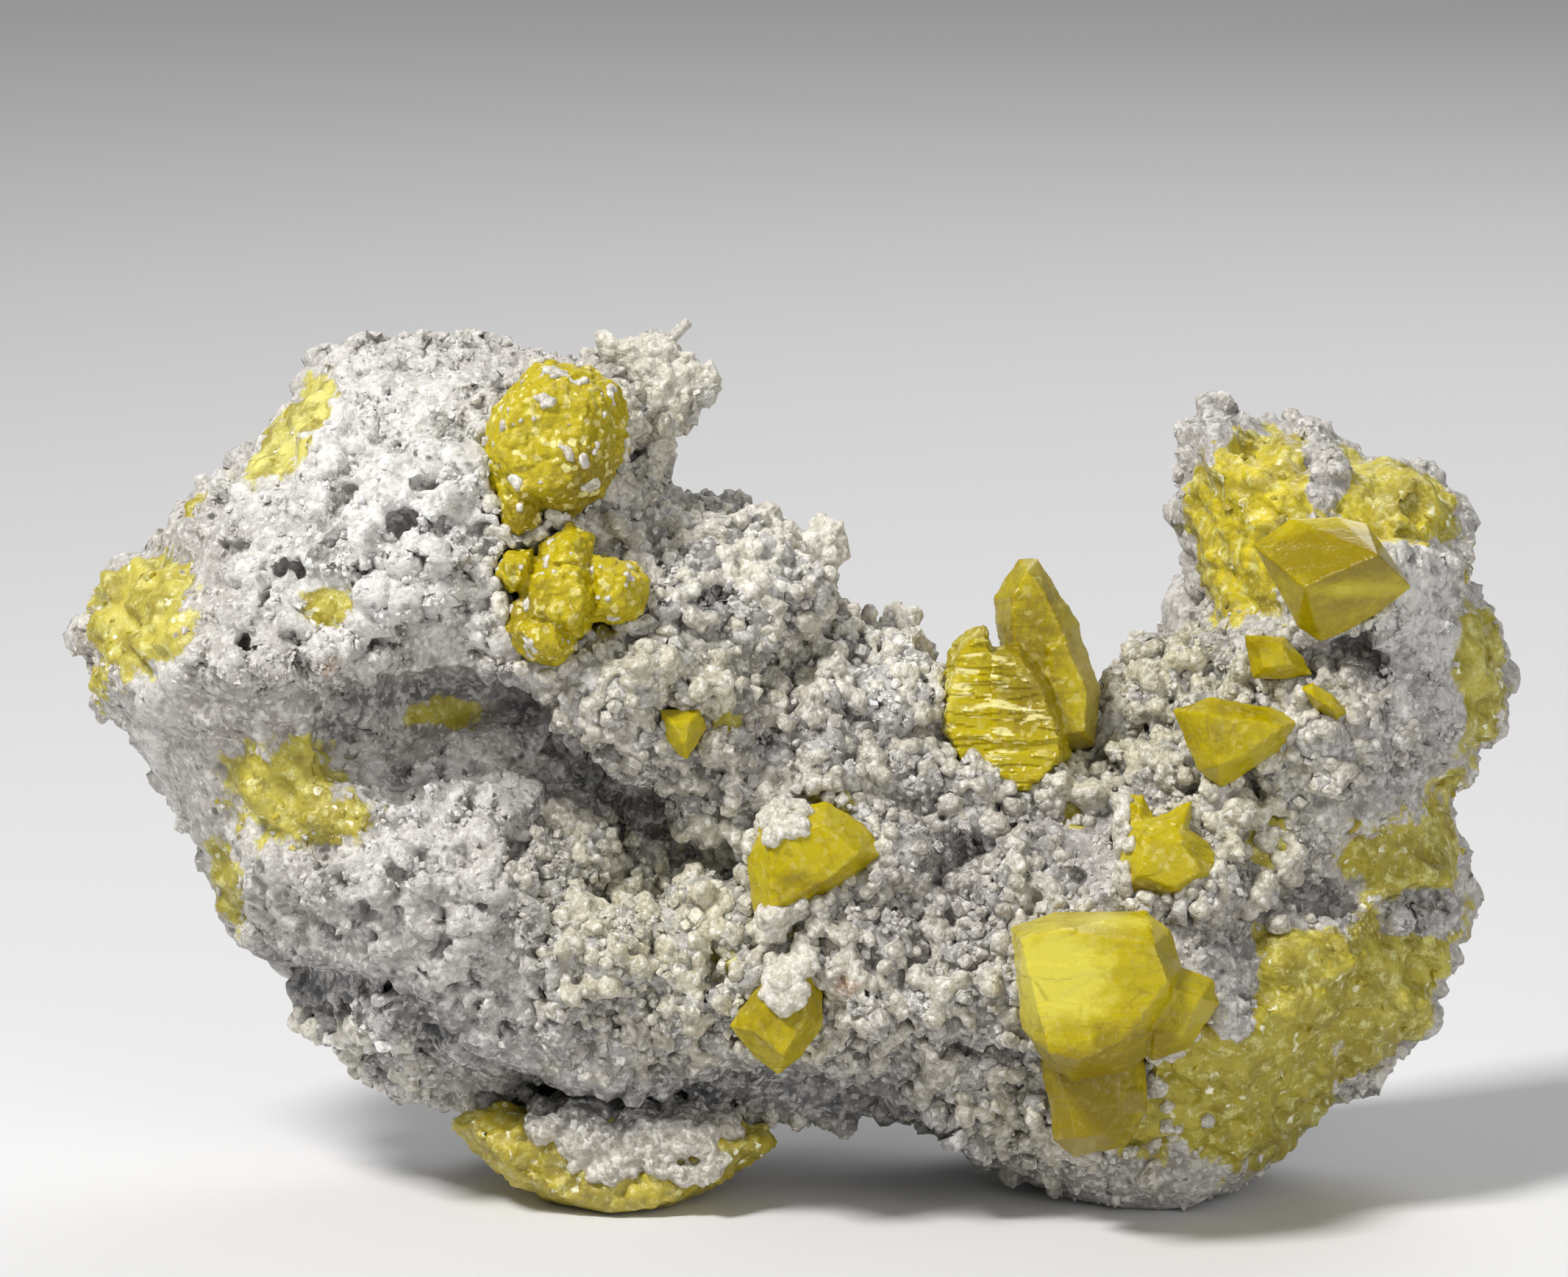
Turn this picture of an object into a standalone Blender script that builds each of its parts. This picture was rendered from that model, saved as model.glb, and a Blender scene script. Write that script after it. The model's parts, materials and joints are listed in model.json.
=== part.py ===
"""Native sulfur crystals on their piece of calcite-crusted limestone.

The specimen is drawn upright in its own face frame, in millimetres: x to the right, h up, and d out of the
front face, towards whoever looks at it. It then leans back on its feet, and a level floor cuts the feet flat.
The rock is one solid. Each sulfur crystal, and each knot of crystals grown together, is a solid of its own
that sits in a socket of the rock.
"""

import math
import random

import bmesh
import bpy
import numpy as np
from mathutils import Matrix, Vector, geometry
from mathutils.bvhtree import BVHTree

MM = 0.001
LEAN = math.radians(10)  # the face tilts back this far from upright
FOOT_DEPTH = 8.0  # depth at which the feet meet the floor at h = 0
SOCKET_GAP = 0.35  # clear gap between a crystal and its socket

# The rock's edge, seen square on to its face, clockwise from the left tip.
ROCK_OUTLINE = [
    (-60, 45.5), (-60, 49), (-59, 51.5), (-57.5, 53.5), (-55, 55.5), (-53, 57), (-52, 60), (-50, 61.5),
    (-46.5, 63), (-45.5, 65), (-43.5, 67.5), (-41.5, 69.5), (-40, 70.5), (-37, 72), (-33.5, 73), (-30.5, 72),
    (-27, 72), (-24, 72), (-21, 71.5), (-18, 71), (-14.5, 72.5), (-11.5, 72), (-9.5, 69), (-10, 64),
    (-10.5, 60), (-5.5, 59.5), (-2.5, 58.5), (-0.5, 56.5), (1.5, 55), (3.5, 52.5), (4, 50.5), (6, 49.5),
    (9.5, 49.5), (11.5, 47.5), (13, 45.5), (16.5, 42), (21, 40), (25.5, 40.5), (27.5, 42.5), (28.5, 44.5),
    (30, 47), (33.5, 48), (33.5, 51), (33.5, 55), (32.5, 57.5), (32.5, 61.5), (32, 63), (32.5, 66),
    (34.5, 67.5), (37.5, 67.5), (40.5, 66), (43.5, 65.5), (47, 65.5), (48.5, 64), (51.5, 64), (54, 63),
    (55.5, 61.5), (57.5, 59.5), (57.5, 55.5), (57.5, 52.5), (59, 51), (60, 48.5), (60, 44.5), (59.5, 41.5),
    (58, 38.5), (57.5, 36.5), (56, 35), (56, 32.5), (57, 31.5), (58, 28), (57.5, 25), (56.5, 22),
    (55, 19.5), (54.5, 16), (53, 14.5), (49.5, 11.5), (46.5, 9), (44.5, 6.5), (42, 4), (38.5, 2.5),
    (35.5, 0.5), (31.5, 0.5), (27.5, 0), (24.5, 0.5), (21, 2), (17, 3.5), (12.5, 4.5), (9.5, 6),
    (7, 6.5), (4, 5.5), (1.5, 6.5), (-1, 7), (-5, 6.5), (-10.5, 6), (-16.5, 6), (-21.5, 7),
    (-27, 8), (-31, 9), (-33.5, 10), (-36.5, 12.5), (-40, 14), (-42, 16), (-41.5, 18), (-43, 20),
    (-45, 22), (-47, 22.5), (-48.5, 25.5), (-49.5, 30), (-51, 33), (-53, 35.5), (-55, 37.5), (-57, 40),
    (-59.5, 41.5), (-60, 43.5),
]
GRID_STEP = 1.7  # spacing of the points that carry the front and back faces
RIM_DEPTH, RIM_DEPTH_AT_FOOT, FOOT_BAND = -4.0, 3.0, 12.0
FRONT_DEPTH, FRONT_ROUNDING = 15.0, 15.0  # the face's general level, and how far in it is reached
BACK_DEPTH, BACK_ROUNDING = -21.0, 20.0

# Swells and hollows of the face: centre (x, h), radii, height in mm.
FRONT_SWELLS = [
    ((-36, 57), (17, 13), 5.0),  # left shoulder
    ((-48, 44), (9, 8), 2.0),  # left cheek
    ((-30, 27), (17, 9), 3.0),  # belly under the arch
    ((-16, 61), (7, 7), 2.5),  # knob that carries the top crystal
    ((0, 54), (6, 4), 3.5),  # wing of cellular calcite
    ((-8, 44), (8, 4), 3.5),  # shelf above the vug
    ((-10.5, 27), (6.5, 5), -5.0),  # the vug
    ((12, 17), (13, 8), 3.0),  # lower bulge
    ((24, 20), (10, 9), 3.5),  # seat of the large crystal
    ((26, 38), (2.5, 3), -4.0),  # gap beside the saddle crystals
    ((39, 14), (11, 8), 3.0),  # heel of massive sulfur
    ((50.5, 24.5), (3.5, 2.5), -3.5),  # grey hollow in the right flank
    ((36, 60), (5, 6), 2.0),  # tower's left horn
]
# Ledges: the face steps back by drop just under the path and comes forward again over fade.
LEDGES = [
    ([(-40, 37.5), (-37, 41.5), (-33, 43.3), (-27, 43.8), (-22, 43.5), (-19, 39), (-14, 35.5), (-7, 34),
      (-2, 33)], 9.5, 12),
    ([(-44, 19), (-38, 19.5), (-34, 18), (-29, 14.5), (-24, 11.8), (-18, 9.8), (-10, 8.8), (-3, 10), (4, 10),
      (10, 6.5)], 5.5, 60),
    ([(-5, 44.5), (-1, 47), (2.5, 50.5), (5, 54)], 4.0, 8),
]
STEP_WIDTH, LEDGE_END = 1.2, 0.12  # width of the step, and the share where it dies out at each end
# Furrows: path, depth, half-width.
FURROWS = [
    ([(54, 50), (55, 43), (54.5, 36)], 3.0, 1.6),  # behind the tower's face
    ([(37, 23), (40.5, 25), (44.5, 27), (49, 28.5)], 4.5, 1.4),  # crevice in the massive sulfur
    ([(11, 34), (13, 29), (14.5, 23)], 3.5, 1.6),  # gash beside the grey druse
    ([(40, 66), (44.5, 61), (48, 58)], 2.0, 0.9),  # seam across the tower
    ([(41, 6), (46, 14.5), (50, 19), (55, 30)], 2.6, 1.5),  # groove down the massive sulfur
    ([(36, 21), (40, 17), (43, 12.5)], 2.0, 1.2),  # its side groove
]
# Pockets that reach in under an overhang: centre (x, h, d), radii.
POCKETS = [
    ((-21.5, 41.3, 15), (5, 3, 7)),  # under the arch
    ((-31, 41.5, 16), (6, 2.2, 5)),  # under the arch, left
    ((-11, 28.5, 13), (6.5, 4.8, 8)),  # the vug
    ((-3.5, 37.3, 17), (4.5, 1.8, 5)),  # under the shelf
    ((45, 46, 15), (4.5, 1.8, 5)),  # under the tower crystal
    ((38.5, 35.5, 14), (3, 1.5, 4)),  # under the wedge crystal
]
# Pores of the pale limestone: zone centre (x, h), radii, number, smallest and largest radius.
PORE_ZONES = [
    ((-38, 53), (15, 12), 14, 0.8, 1.6),
    ((-32, 28), (13, 8), 8, 0.8, 1.5),
    ((46, 57), (7, 6), 4, 0.8, 1.4),
]
# Masses that give the rock its back and its feet: centre (x, h, d), radii.
BACK_MASSES = [
    ((-33, 47, -15), (21, 19, 13)),
    ((-20, 55, -11), (10, 11, 10)),
    ((2, 27, -17), (23, 16, 10)),
    ((42, 40, -12), (14, 20, 11)),
    ((27, 17, -12), (17, 13, 12)),
    ((-15, 10, -14), (11, 9, 10)),  # rear foot, left
    ((29, 9, -12), (11, 9, 11)),  # rear foot, right
    ((31, 4.5, 4), (8, 5.5, 7)),  # front foot, right
]
MASS_CORNERS = 34
VOXEL, ROCK_TRIANGLES = 0.9, 4250
# Rough surface: Blender noise basis, texture size in mm, depth in mm.
ROUGHNESS = [("SOFT_NOISE", 13.0, 2.4), ("HARD_NOISE", 5.5, 1.8)]

# Druse fused to the rock: zone centre (x, h), radii, number of crystals, smallest and largest size.
DRUSE_ZONES = [
    ((-11, 69), (2.5, 3), 5, 2.2, 3.4),
    ((-1, 53), (5, 4.5), 8, 2.2, 3.4),
    ((8, 44.5), (6, 4), 8, 2.4, 3.6),
    ((-6, 41), (8, 4), 7, 2.4, 3.6),
    ((-9, 22), (8, 5), 9, 2.4, 3.8),
    ((9, 19), (5, 9), 9, 2.4, 3.8),
    ((32, 44.5), (4, 2.5), 6, 2.4, 3.6),
    ((26, 37), (4, 2), 4, 2.2, 3.2),
    ((17, 8), (8, 3), 7, 2.4, 3.8),
    ((-37, 16.5), (4.5, 2.5), 5, 2.4, 3.6),
]
BLOCK_SLANT, BLOCK_STRETCH, BLOCK_SUNK = 0.35, (0.8, 1.25), 0.2
SULFUR_REACH = 0.8  # share of a sulfur crystal's radius that is kept free of blocks
# Single crystals that stand out of the edge: foot (x, h, d), tip (x, h, d), radius.
CALCITE_SPIKES = [
    ((-11.5, 70.5, 2), (-8.3, 74.6, 3), 0.85),
    ((-14, 71, 1), (-15.3, 73.2, 1), 0.9),
    ((-11.5, 70, 3), (-11, 73.5, 3), 1.2),
    ((-10.5, 68.5, 2), (-6.6, 69.0, 4), 1.7),
    ((-10.5, 67, 3), (-7.5, 66.6, 4), 1.3),
    ((-0.5, 54.5, 6), (3.2, 57.3, 7), 1.5),
    ((1, 54, 7), (4.6, 55.2, 7), 1.3),
    ((0, 55, 4), (1.4, 57.6, 4), 1.1),
]
SPIKE_TIP, SPIKE_BEVEL = 0.55, 0.25  # tip's width and bevel, as shares of the prism's radius

# Sulfur. Each knot of crystals is a list of bodies: the girdle (x, h) where it is widest, lift of the girdle
# off the rock, the table or ridge (x, h) of its front, rise of that above the girdle, and depth of the root
# under the rock's face. All bodies of a knot count from the rock's face under the first one. A last number
# gives the depth to count from instead, for a body that stands on the rock's edge.
SULFUR = {
    "sulfur_crystal_top": [
        ([(-26, 62), (-24.5, 66.5), (-21, 70.8), (-16.5, 70.3), (-13.5, 68.3), (-13, 64), (-14.5, 60.5),
          (-18, 57.5),
          (-23, 57.5), (-25.5, 60)], 0.8,
         [(-23.8, 63.5), (-22.5, 66.8), (-19.5, 68.3), (-16.8, 66.8), (-16.6, 62.5), (-18.5, 60.2),
          (-22, 60)],
         5.0, 5),
        ([(-24, 60), (-20.5, 60), (-20.5, 57.2), (-22.4, 56), (-23.8, 57.2)], 3.0,
         [(-23, 58.6), (-21.2, 58.6), (-22, 57)], 2.0, 4),
    ],
    "sulfur_cluster_left": [
        ([(-22.4, 49), (-22.2, 53.5), (-19.5, 55), (-16, 54.5), (-15, 51), (-17, 47.6), (-20, 47.2)], 0.6,
         [(-20.6, 50), (-20.4, 52.4), (-18, 53.4), (-16.6, 51.2), (-18, 49)], 4.4, 4),
        ([(-20.8, 52.5), (-20.6, 55.6), (-18, 57.2), (-16, 56), (-16.2, 53)], 0.6,
         [(-19.4, 54), (-18.2, 55.8), (-17.2, 54.2)], 3.4, 4),
        ([(-24.4, 53), (-23.6, 55), (-21, 55.4), (-20.8, 52), (-23, 51.4)], 0.6,
         [(-22.9, 53.9), (-21.8, 53.8), (-22.2, 52.4)], 2.8, 4),
        ([(-23.6, 48.6), (-22.6, 51), (-18.4, 50), (-17.2, 47), (-19, 45.6), (-21.6, 46)], 0.8,
         [(-21.9, 48.4), (-19.4, 48.9), (-18.8, 46.9), (-20.8, 46.8)], 4.0, 4),
        ([(-16.8, 54.8), (-12.6, 54.2), (-11.3, 52.4), (-12, 50), (-14, 48.8), (-16.8, 49.2)], 1.2,
         [(-15.6, 53), (-13.4, 52.8), (-13.6, 50.5), (-15.6, 50.3)], 2.6, 4),
    ],
    "sulfur_crystals_saddle": [
        ([(11.6, 41.2), (12.6, 42.6), (13.5, 47.8), (16.1, 49), (17.4, 45.5), (17.4, 34.8), (15, 34.5),
          (13.2, 37.8)],
         0, [(12.9, 41), (14.3, 47), (16, 48), (17.2, 45), (17.2, 35.6), (15.2, 35.4),
             (14, 38)], 4.6, 8, 5.5),
        ([(15.6, 47.2), (19, 47.4), (21.6, 44.4), (22.4, 42), (23.2, 38.5), (22.6, 36.8), (20.2, 34.6),
          (15.6, 34.5)],
         0, [(16.7, 46.4), (19, 46.2), (20.8, 43.6), (21.5, 41.4), (22.3, 38.6), (21.4, 37), (19.6, 35.5),
             (16.7, 35.4)], 4.6, 8, 6.2),
        ([(16.9, 51.2), (17.8, 52.3), (19, 54.5), (20.6, 54.5), (22.4, 51.6), (24.1, 49), (24.5, 46),
          (23.5, 42),
          (17.8, 42), (17.4, 48.8)], 0,
         [(18.4, 51.2), (19.6, 53.4), (21, 51.8), (22.9, 47.6), (22, 43), (18.8, 43),
          (18.6, 48)], 4.2, 5, 2.2),
        ([(24, 48.5), (24.6, 46.1), (25.8, 43.8), (25.6, 41), (25.3, 38.8), (23.4, 38.4), (20, 38.4),
          (20, 48)], 0,
         [(22.8, 47.4), (23.6, 45.4), (24.6, 43.4), (24.4, 40), (21.5, 40), (21.5, 47)], 4.6, 6, 2.4),
    ],
    "sulfur_crystal_tower": [
        ([(38, 55.5), (41, 57.6), (45, 57.8), (47.3, 57.3), (49, 55), (51, 52), (48.5, 50), (45.5, 48.3),
          (43.5, 47.5),
          (41.7, 48.7), (41, 51)], 1.6,
         [(42, 52), (48, 54.6)], 5.0, 5),
    ],
    "sulfur_crystal_step": [
        ([(37.3, 48.1), (40.7, 48), (42, 46.5), (43, 44.8), (40.5, 44.4), (38, 44.5)], 1.2,
         [(38.5, 47.2), (40.3, 47.1), (41.3, 45.6), (38.9, 45.4)], 1.8, 3),
    ],
    "sulfur_crystal_chip": [
        ([(41.8, 43.8), (42.9, 44.2), (44.4, 43.3), (45.9, 41.7), (44.9, 40.8), (43.3, 41.8)], 1.2,
         [(42.9, 43.1), (44.6, 42)], 1.8, 3),
    ],
    "sulfur_crystal_wedge": [
        ([(31.4, 42), (34.5, 43), (39.5, 42.2), (42, 41.1), (41, 39), (38, 37.3), (35.3, 35.4), (33.5, 37),
          (32.3, 39.5)], 2.0,
         [(34, 41.6), (38.5, 41.1), (40.2, 40.5), (37.2, 38.2), (35, 37.4)], 3.0, 4),
    ],
    "sulfur_crystals_star": [
        ([(27, 26.8), (27, 31), (28, 33), (31, 33.5), (34, 31.3), (35.2, 29.8), (35.5, 28), (33, 26.5),
          (30, 26)], 1.0,
         [(28.5, 28.5), (29.2, 31.4), (32, 31.2), (33.6, 28.8), (31.4, 27.4)], 3.0, 4),
        ([(27, 35), (29, 35.2), (30, 32.8), (28.5, 29.5), (26.8, 31.5)], 0.0, [(27.8, 34),
                                                                               (28.8, 33)], 1.6, 3),
        ([(30.2, 33), (33, 34.6), (32.8, 32), (31, 29.5)], 0.6, [(31.4, 33), (32.2, 32.4)], 1.8, 3),
    ],
    "sulfur_crystal_large": [
        ([(18, 24.2), (21.5, 25.5), (29, 25.6), (31, 24), (32, 21), (31.5, 15.5), (27.5, 12.5), (23, 11.7),
          (21, 13),
          (18.8, 16)], 1.5,
         [(18.7, 23.4), (22, 24.2), (29.5, 23), (30.6, 20), (27, 15.2), (23.5, 13.6), (21, 14.2)], 6.0, 5),
        ([(29, 22), (34.5, 20), (35, 18), (32.5, 14.3), (29.5, 13.3), (27.5, 16)], 1.0,
         [(30, 19.8), (33.4, 18.6), (31.8, 15.6), (29.6, 15.4)], 4.2, 4),
        ([(20.4, 14.5), (29, 14.5), (29.4, 9), (27.6, 6.2), (23.2, 5.2), (21.6, 6.7)], -2.6,
         [(21.6, 13.5), (27, 13.5), (27, 9), (25.8, 7.4), (23.4, 7)], 3.2, 6),
    ],
    "sulfur_crystal_vug_upper": [
        ([(-2, 33.5), (3, 34.5), (6, 32.7), (8, 30), (6.3, 28.5), (3, 26.5), (-0.5, 24), (-2.5, 22.7),
          (-3.3, 27),
          (-3.7, 30)], 1.2,
         [(-1.6, 31.5), (2.6, 32.6), (5.6, 30.2), (3.4, 28.4), (-1.6, 25.6)], 3.6, 4),
    ],
    "sulfur_crystal_vug_lower": [
        ([(-2, 20.5), (1, 23.4), (2.7, 19.5), (2.7, 16), (1, 13.5), (-1, 12), (-3, 13.5), (-5, 16)], 1.0,
         [(-1.6, 19), (0.9, 20.6), (1.4, 16.6), (-0.6, 13.8), (-3, 15.8)], 3.0, 4),
    ],
    "sulfur_crystal_ledge": [
        ([(-10.7, 42), (-7.4, 42), (-6.8, 40.5), (-8.5, 37.8), (-10.1, 39)], 1.0,
         [(-9.7, 41), (-8.2, 41), (-8.6, 39.2)], 2.0, 3),
    ],
}
ROOT_TAPER = 0.55
# The lens of massive sulfur under the rock: girdle and front face (x, h), their depths, and the back.
LENS_GIRDLE = [
    (-28, 7.5), (-25.5, 9), (-16, 9.5), (-8, 9.5), (-1.6, 7.4), (-1.3, 5.5), (-3.5, 4), (-7, 2), (-10, 0.3),
    (-15, -0.4), (-20.5, 1), (-23.5, 3), (-26.3, 5),
]
LENS_FACE = [(-26, 7), (-15, 7.5), (-3.5, 6.3), (-6, 3.6), (-10, 1.2), (-15, 0.4), (-20, 1.9), (-24, 4.4)]
LENS_GIRDLE_DEPTH, LENS_FACE_DEPTH, LENS_BACK_DEPTH, LENS_BACK_TAPER = 3.0, 9.0, -7.0, 0.75

MATRIX_COLOUR, MATRIX_ROUGHNESS = (0.72, 0.69, 0.66, 1), 0.8
SULFUR_COLOUR, SULFUR_ROUGHNESS = (0.72, 0.6, 0.02, 1), 0.25
SEED = 7


def in_face_frame(x, h, d):
    """A point of the face frame, in millimetres, as a vector of the upright specimen, in metres."""
    return Vector((x, -d, h)) * MM


def material(name, colour, roughness):
    made = bpy.data.materials.new(name)
    made.use_nodes = True
    shader = made.node_tree.nodes["Principled BSDF"]
    shader.inputs["Base Color"].default_value = colour
    shader.inputs["Roughness"].default_value = roughness
    return made


def object_of(name, bm, stance, finish=None):
    """A mesh object from bm, standing on the stance."""
    mesh = bpy.data.meshes.new(name)
    bm.to_mesh(mesh)
    bm.free()
    made = bpy.data.objects.new(name, mesh)
    bpy.context.scene.collection.objects.link(made)
    made.parent = stance
    if finish:
        mesh.materials.append(finish)
    return made


def as_helper(helper, collection=None):
    helper.hide_render = True
    helper.display_type = "WIRE"
    if collection:
        collection.objects.link(helper)
    return helper


def add_boolean(target, operation, operand):
    cut = target.modifiers.new(operation.lower(), "BOOLEAN")
    cut.operation = operation
    cut.solver = "EXACT"
    if isinstance(operand, bpy.types.Collection):
        cut.operand_type = "COLLECTION"
        cut.collection = operand
    else:
        cut.object = operand
    return cut


def bake_modifiers(target):
    """Replaces the object's mesh by what its modifiers make of it."""
    bpy.context.view_layer.update()
    graph = bpy.context.evaluated_depsgraph_get()
    baked = bpy.data.meshes.new_from_object(target.evaluated_get(graph))
    target.modifiers.clear()
    target.data = baked


# ---- the rock ---------------------------------------------------------------------------------------------


def nearest_on_path(x, h, path):
    """For arrays of points: distance to the path, side (+1 under it, drawn left to right), share along."""
    path = np.array(path, float)
    starts, runs = path[:-1], np.diff(path, axis=0)
    lengths = np.hypot(*runs.T)
    travelled = np.concatenate([[0], np.cumsum(lengths)[:-1]])
    away = np.stack([x[:, None] - starts[:, 0], h[:, None] - starts[:, 1]], -1)
    share = np.clip((away * runs).sum(-1) / lengths**2, 0, 1)
    gap = away - share[..., None] * runs
    distance = np.hypot(gap[..., 0], gap[..., 1])
    best = distance.argmin(1)
    row = np.arange(len(x))
    side = -np.sign(runs[best, 0] * gap[row, best, 1] - runs[best, 1] * gap[row, best, 0])
    along = (travelled[best] + share[row, best] * lengths[best]) / lengths.sum()
    return distance[row, best], side, along


def ease(t):
    t = np.clip(t, 0, 1)
    return t * t * (3 - 2 * t)


def relief(x, h):
    """How far the features of the face stand out of its general level, in mm."""
    total = np.zeros(len(x))
    for (cx, ch), (rx, rh), height in FRONT_SWELLS:
        total += height * np.exp(-(((x - cx) / rx) ** 2) - ((h - ch) / rh) ** 2)
    for path, drop, fade in LEDGES:
        distance, side, along = nearest_on_path(x, h, path)
        signed = distance * side
        ends = ease(along / LEDGE_END) * ease((1 - along) / LEDGE_END)
        total -= drop * ends * ease(signed / STEP_WIDTH) * (1 - ease((signed - STEP_WIDTH) / fade))
    for path, depth, half_width in FURROWS:
        distance = nearest_on_path(x, h, path)[0]
        total -= depth * np.exp(-((distance / half_width) ** 2))
    return total


def rounded(distance, rounding):
    """A quarter ellipse: 0 at the rock's edge, 1 from the rounding inwards."""
    return np.sqrt(1 - (1 - np.clip(distance / rounding, 0, 1)) ** 2)


def rock_shell():
    """The rock as a closed shell: two faces over the outline, meeting at the rim."""
    rim = np.array(ROCK_OUTLINE, float)
    xs = np.arange(rim[:, 0].min(), rim[:, 0].max(), GRID_STEP)
    hs = np.arange(rim[:, 1].min(), rim[:, 1].max(), GRID_STEP)
    grid = np.array([(x + (row % 2) * GRID_STEP / 2, h) for row, h in enumerate(hs) for x in xs])
    edge = np.vstack([rim, rim[:1]])
    inside = np.zeros(len(grid), bool)
    for (x0, h0), (x1, h1) in zip(edge[:-1], edge[1:]):
        crosses = (h0 > grid[:, 1]) != (h1 > grid[:, 1])
        with np.errstate(divide="ignore", invalid="ignore"):
            at = x0 + (grid[:, 1] - h0) * (x1 - x0) / (h1 - h0)
        inside ^= crosses & (grid[:, 0] < at)
    grid = grid[inside]
    grid = grid[nearest_on_path(*grid.T, edge)[0] > GRID_STEP / 2]
    flat = [Vector(p) for p in np.vstack([rim, grid])]
    ring = list(range(len(rim)))
    points, _, triangles, *_ = geometry.delaunay_2d_cdt(flat, [], [ring], 1, 1e-6)
    x, h = np.array([p[:] for p in points]).T
    distance = nearest_on_path(x, h, edge)[0]
    on_rim = distance < 1e-4
    rim_depth = RIM_DEPTH + (RIM_DEPTH_AT_FOOT - RIM_DEPTH) * ease(1 - h / FOOT_BAND)
    front = rim_depth + (FRONT_DEPTH + relief(x, h) - rim_depth) * rounded(distance, FRONT_ROUNDING)
    back = rim_depth + (BACK_DEPTH - rim_depth) * rounded(distance, BACK_ROUNDING)
    bm = bmesh.new()
    front_verts = [bm.verts.new(in_face_frame(*p)) for p in zip(x, h, front)]
    back_verts = [
        front_verts[i] if on_rim[i] else bm.verts.new(in_face_frame(x[i], h[i], back[i]))
        for i in range(len(x))
    ]
    for a, b, c in triangles:
        bm.faces.new([front_verts[i] for i in (a, b, c)])
        if not (on_rim[a] and on_rim[b] and on_rim[c]):
            bm.faces.new([back_verts[i] for i in (c, b, a)])
    bmesh.ops.recalc_face_normals(bm, faces=bm.faces)
    return bm


def add_mass(bm, centre, radii, rng):
    """An angular lump that the remesh will melt into the rock."""
    corners = []
    for _ in range(MASS_CORNERS):
        way = Vector([rng.gauss(0, 1) for _ in range(3)]).normalized()
        corners.append(bm.verts.new(in_face_frame(*(c + r * w for c, r, w in zip(centre, radii, way)))))
    hull = bmesh.ops.convex_hull(bm, input=corners)
    inner = [item for item in hull["geom_interior"] if isinstance(item, bmesh.types.BMVert)]
    bmesh.ops.delete(bm, geom=inner, context="VERTS")


def add_texture(target, basis, size, depth):
    texture = bpy.data.textures.new(f"{basis}_{size:g}mm", "CLOUDS")
    texture.noise_type = basis
    texture.noise_scale = size * MM
    texture.noise_depth = 2
    lumps = target.modifiers.new("lumps", "DISPLACE")
    lumps.texture = texture
    lumps.strength = depth * MM
    lumps.mid_level = 0.5


def melt_together(target):
    melt = target.modifiers.new("melt", "REMESH")
    melt.mode = "VOXEL"
    melt.voxel_size = VOXEL * MM


def make_rock(stance, finish):
    bm = rock_shell()
    rng = random.Random(SEED)
    for centre, radii in BACK_MASSES:
        add_mass(bm, centre, radii, rng)
    rock = object_of("matrix", bm, stance, finish)
    melt_together(rock)
    pockets = bpy.data.collections.new("pockets")
    for number, (centre, radii) in enumerate(POCKETS):
        pocket(f"pocket_{number}", centre, radii, 3, stance, pockets)
    add_boolean(rock, "DIFFERENCE", pockets)
    for basis, size, depth in ROUGHNESS:
        add_texture(rock, basis, size, depth)
    melt_together(rock)
    bake_modifiers(rock)
    thin = rock.modifiers.new("facets", "DECIMATE")
    thin.ratio = ROCK_TRIANGLES / (2 * len(rock.data.polygons))
    thin.use_collapse_triangulate = True
    bake_modifiers(rock)
    return rock


def pocket(name, centre, radii, fineness, stance, pockets):
    """An ellipsoid to cut away."""
    bm = bmesh.new()
    bmesh.ops.create_icosphere(bm, subdivisions=fineness, radius=MM)
    bmesh.ops.scale(bm, vec=(radii[0], radii[2], radii[1]), verts=bm.verts)
    hollow = object_of(name, bm, stance)
    hollow.location = in_face_frame(*centre)
    return as_helper(hollow, pockets)


def scattered(zone, rng):
    """Points (x, h) spread over an elliptical zone, each with a size."""
    (cx, ch), (rx, rh), count, smallest, largest = zone
    for _ in range(count):
        angle, reach = rng.uniform(0, math.tau), math.sqrt(rng.random())
        x, h = cx + rx * reach * math.cos(angle), ch + rh * reach * math.sin(angle)
        yield x, h, rng.uniform(smallest, largest)


def open_pores(stance, depth_at):
    pores = bpy.data.collections.new("pores")
    rng = random.Random(SEED)
    for zone in PORE_ZONES:
        for x, h, radius in scattered(zone, rng):
            radii = (radius * rng.uniform(0.8, 1.4), radius * rng.uniform(0.7, 1.1), radius * 1.3)
            pocket(f"pore_{len(pores.objects)}", (x, h, depth_at(x, h)), radii, 1, stance, pores)
    return pores


def front_finder(rock):
    """A function that gives the depth of the rock's face at (x, h), in mm."""
    tree = BVHTree.FromPolygons([v.co for v in rock.data.vertices], [p.vertices for p in rock.data.polygons])

    def depth_at(x, h):
        hit = tree.ray_cast(in_face_frame(x, h, 60), Vector((0, 1, 0)))[0]
        return -hit.y / MM if hit else None

    return depth_at


# ---- calcite ----------------------------------------------------------------------------------------------


def calcite_block(name, centre, size, rng, stance, druse):
    """A leaning rhomb of calcite."""
    stretch = rng.uniform(*BLOCK_STRETCH)
    bm = bmesh.new()
    bmesh.ops.create_cube(bm, size=size * MM)
    for vert in bm.verts:
        vert.co.x += BLOCK_SLANT * vert.co.z
        vert.co.z *= stretch
    turn = [Matrix.Rotation(rng.uniform(0, math.tau), 3, axis) for axis in "XYZ"]
    bmesh.ops.transform(bm, matrix=(turn[0] @ turn[1] @ turn[2]).to_4x4(), verts=bm.verts)
    block = object_of(name, bm, stance)
    block.location = centre
    return as_helper(block, druse)


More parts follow.
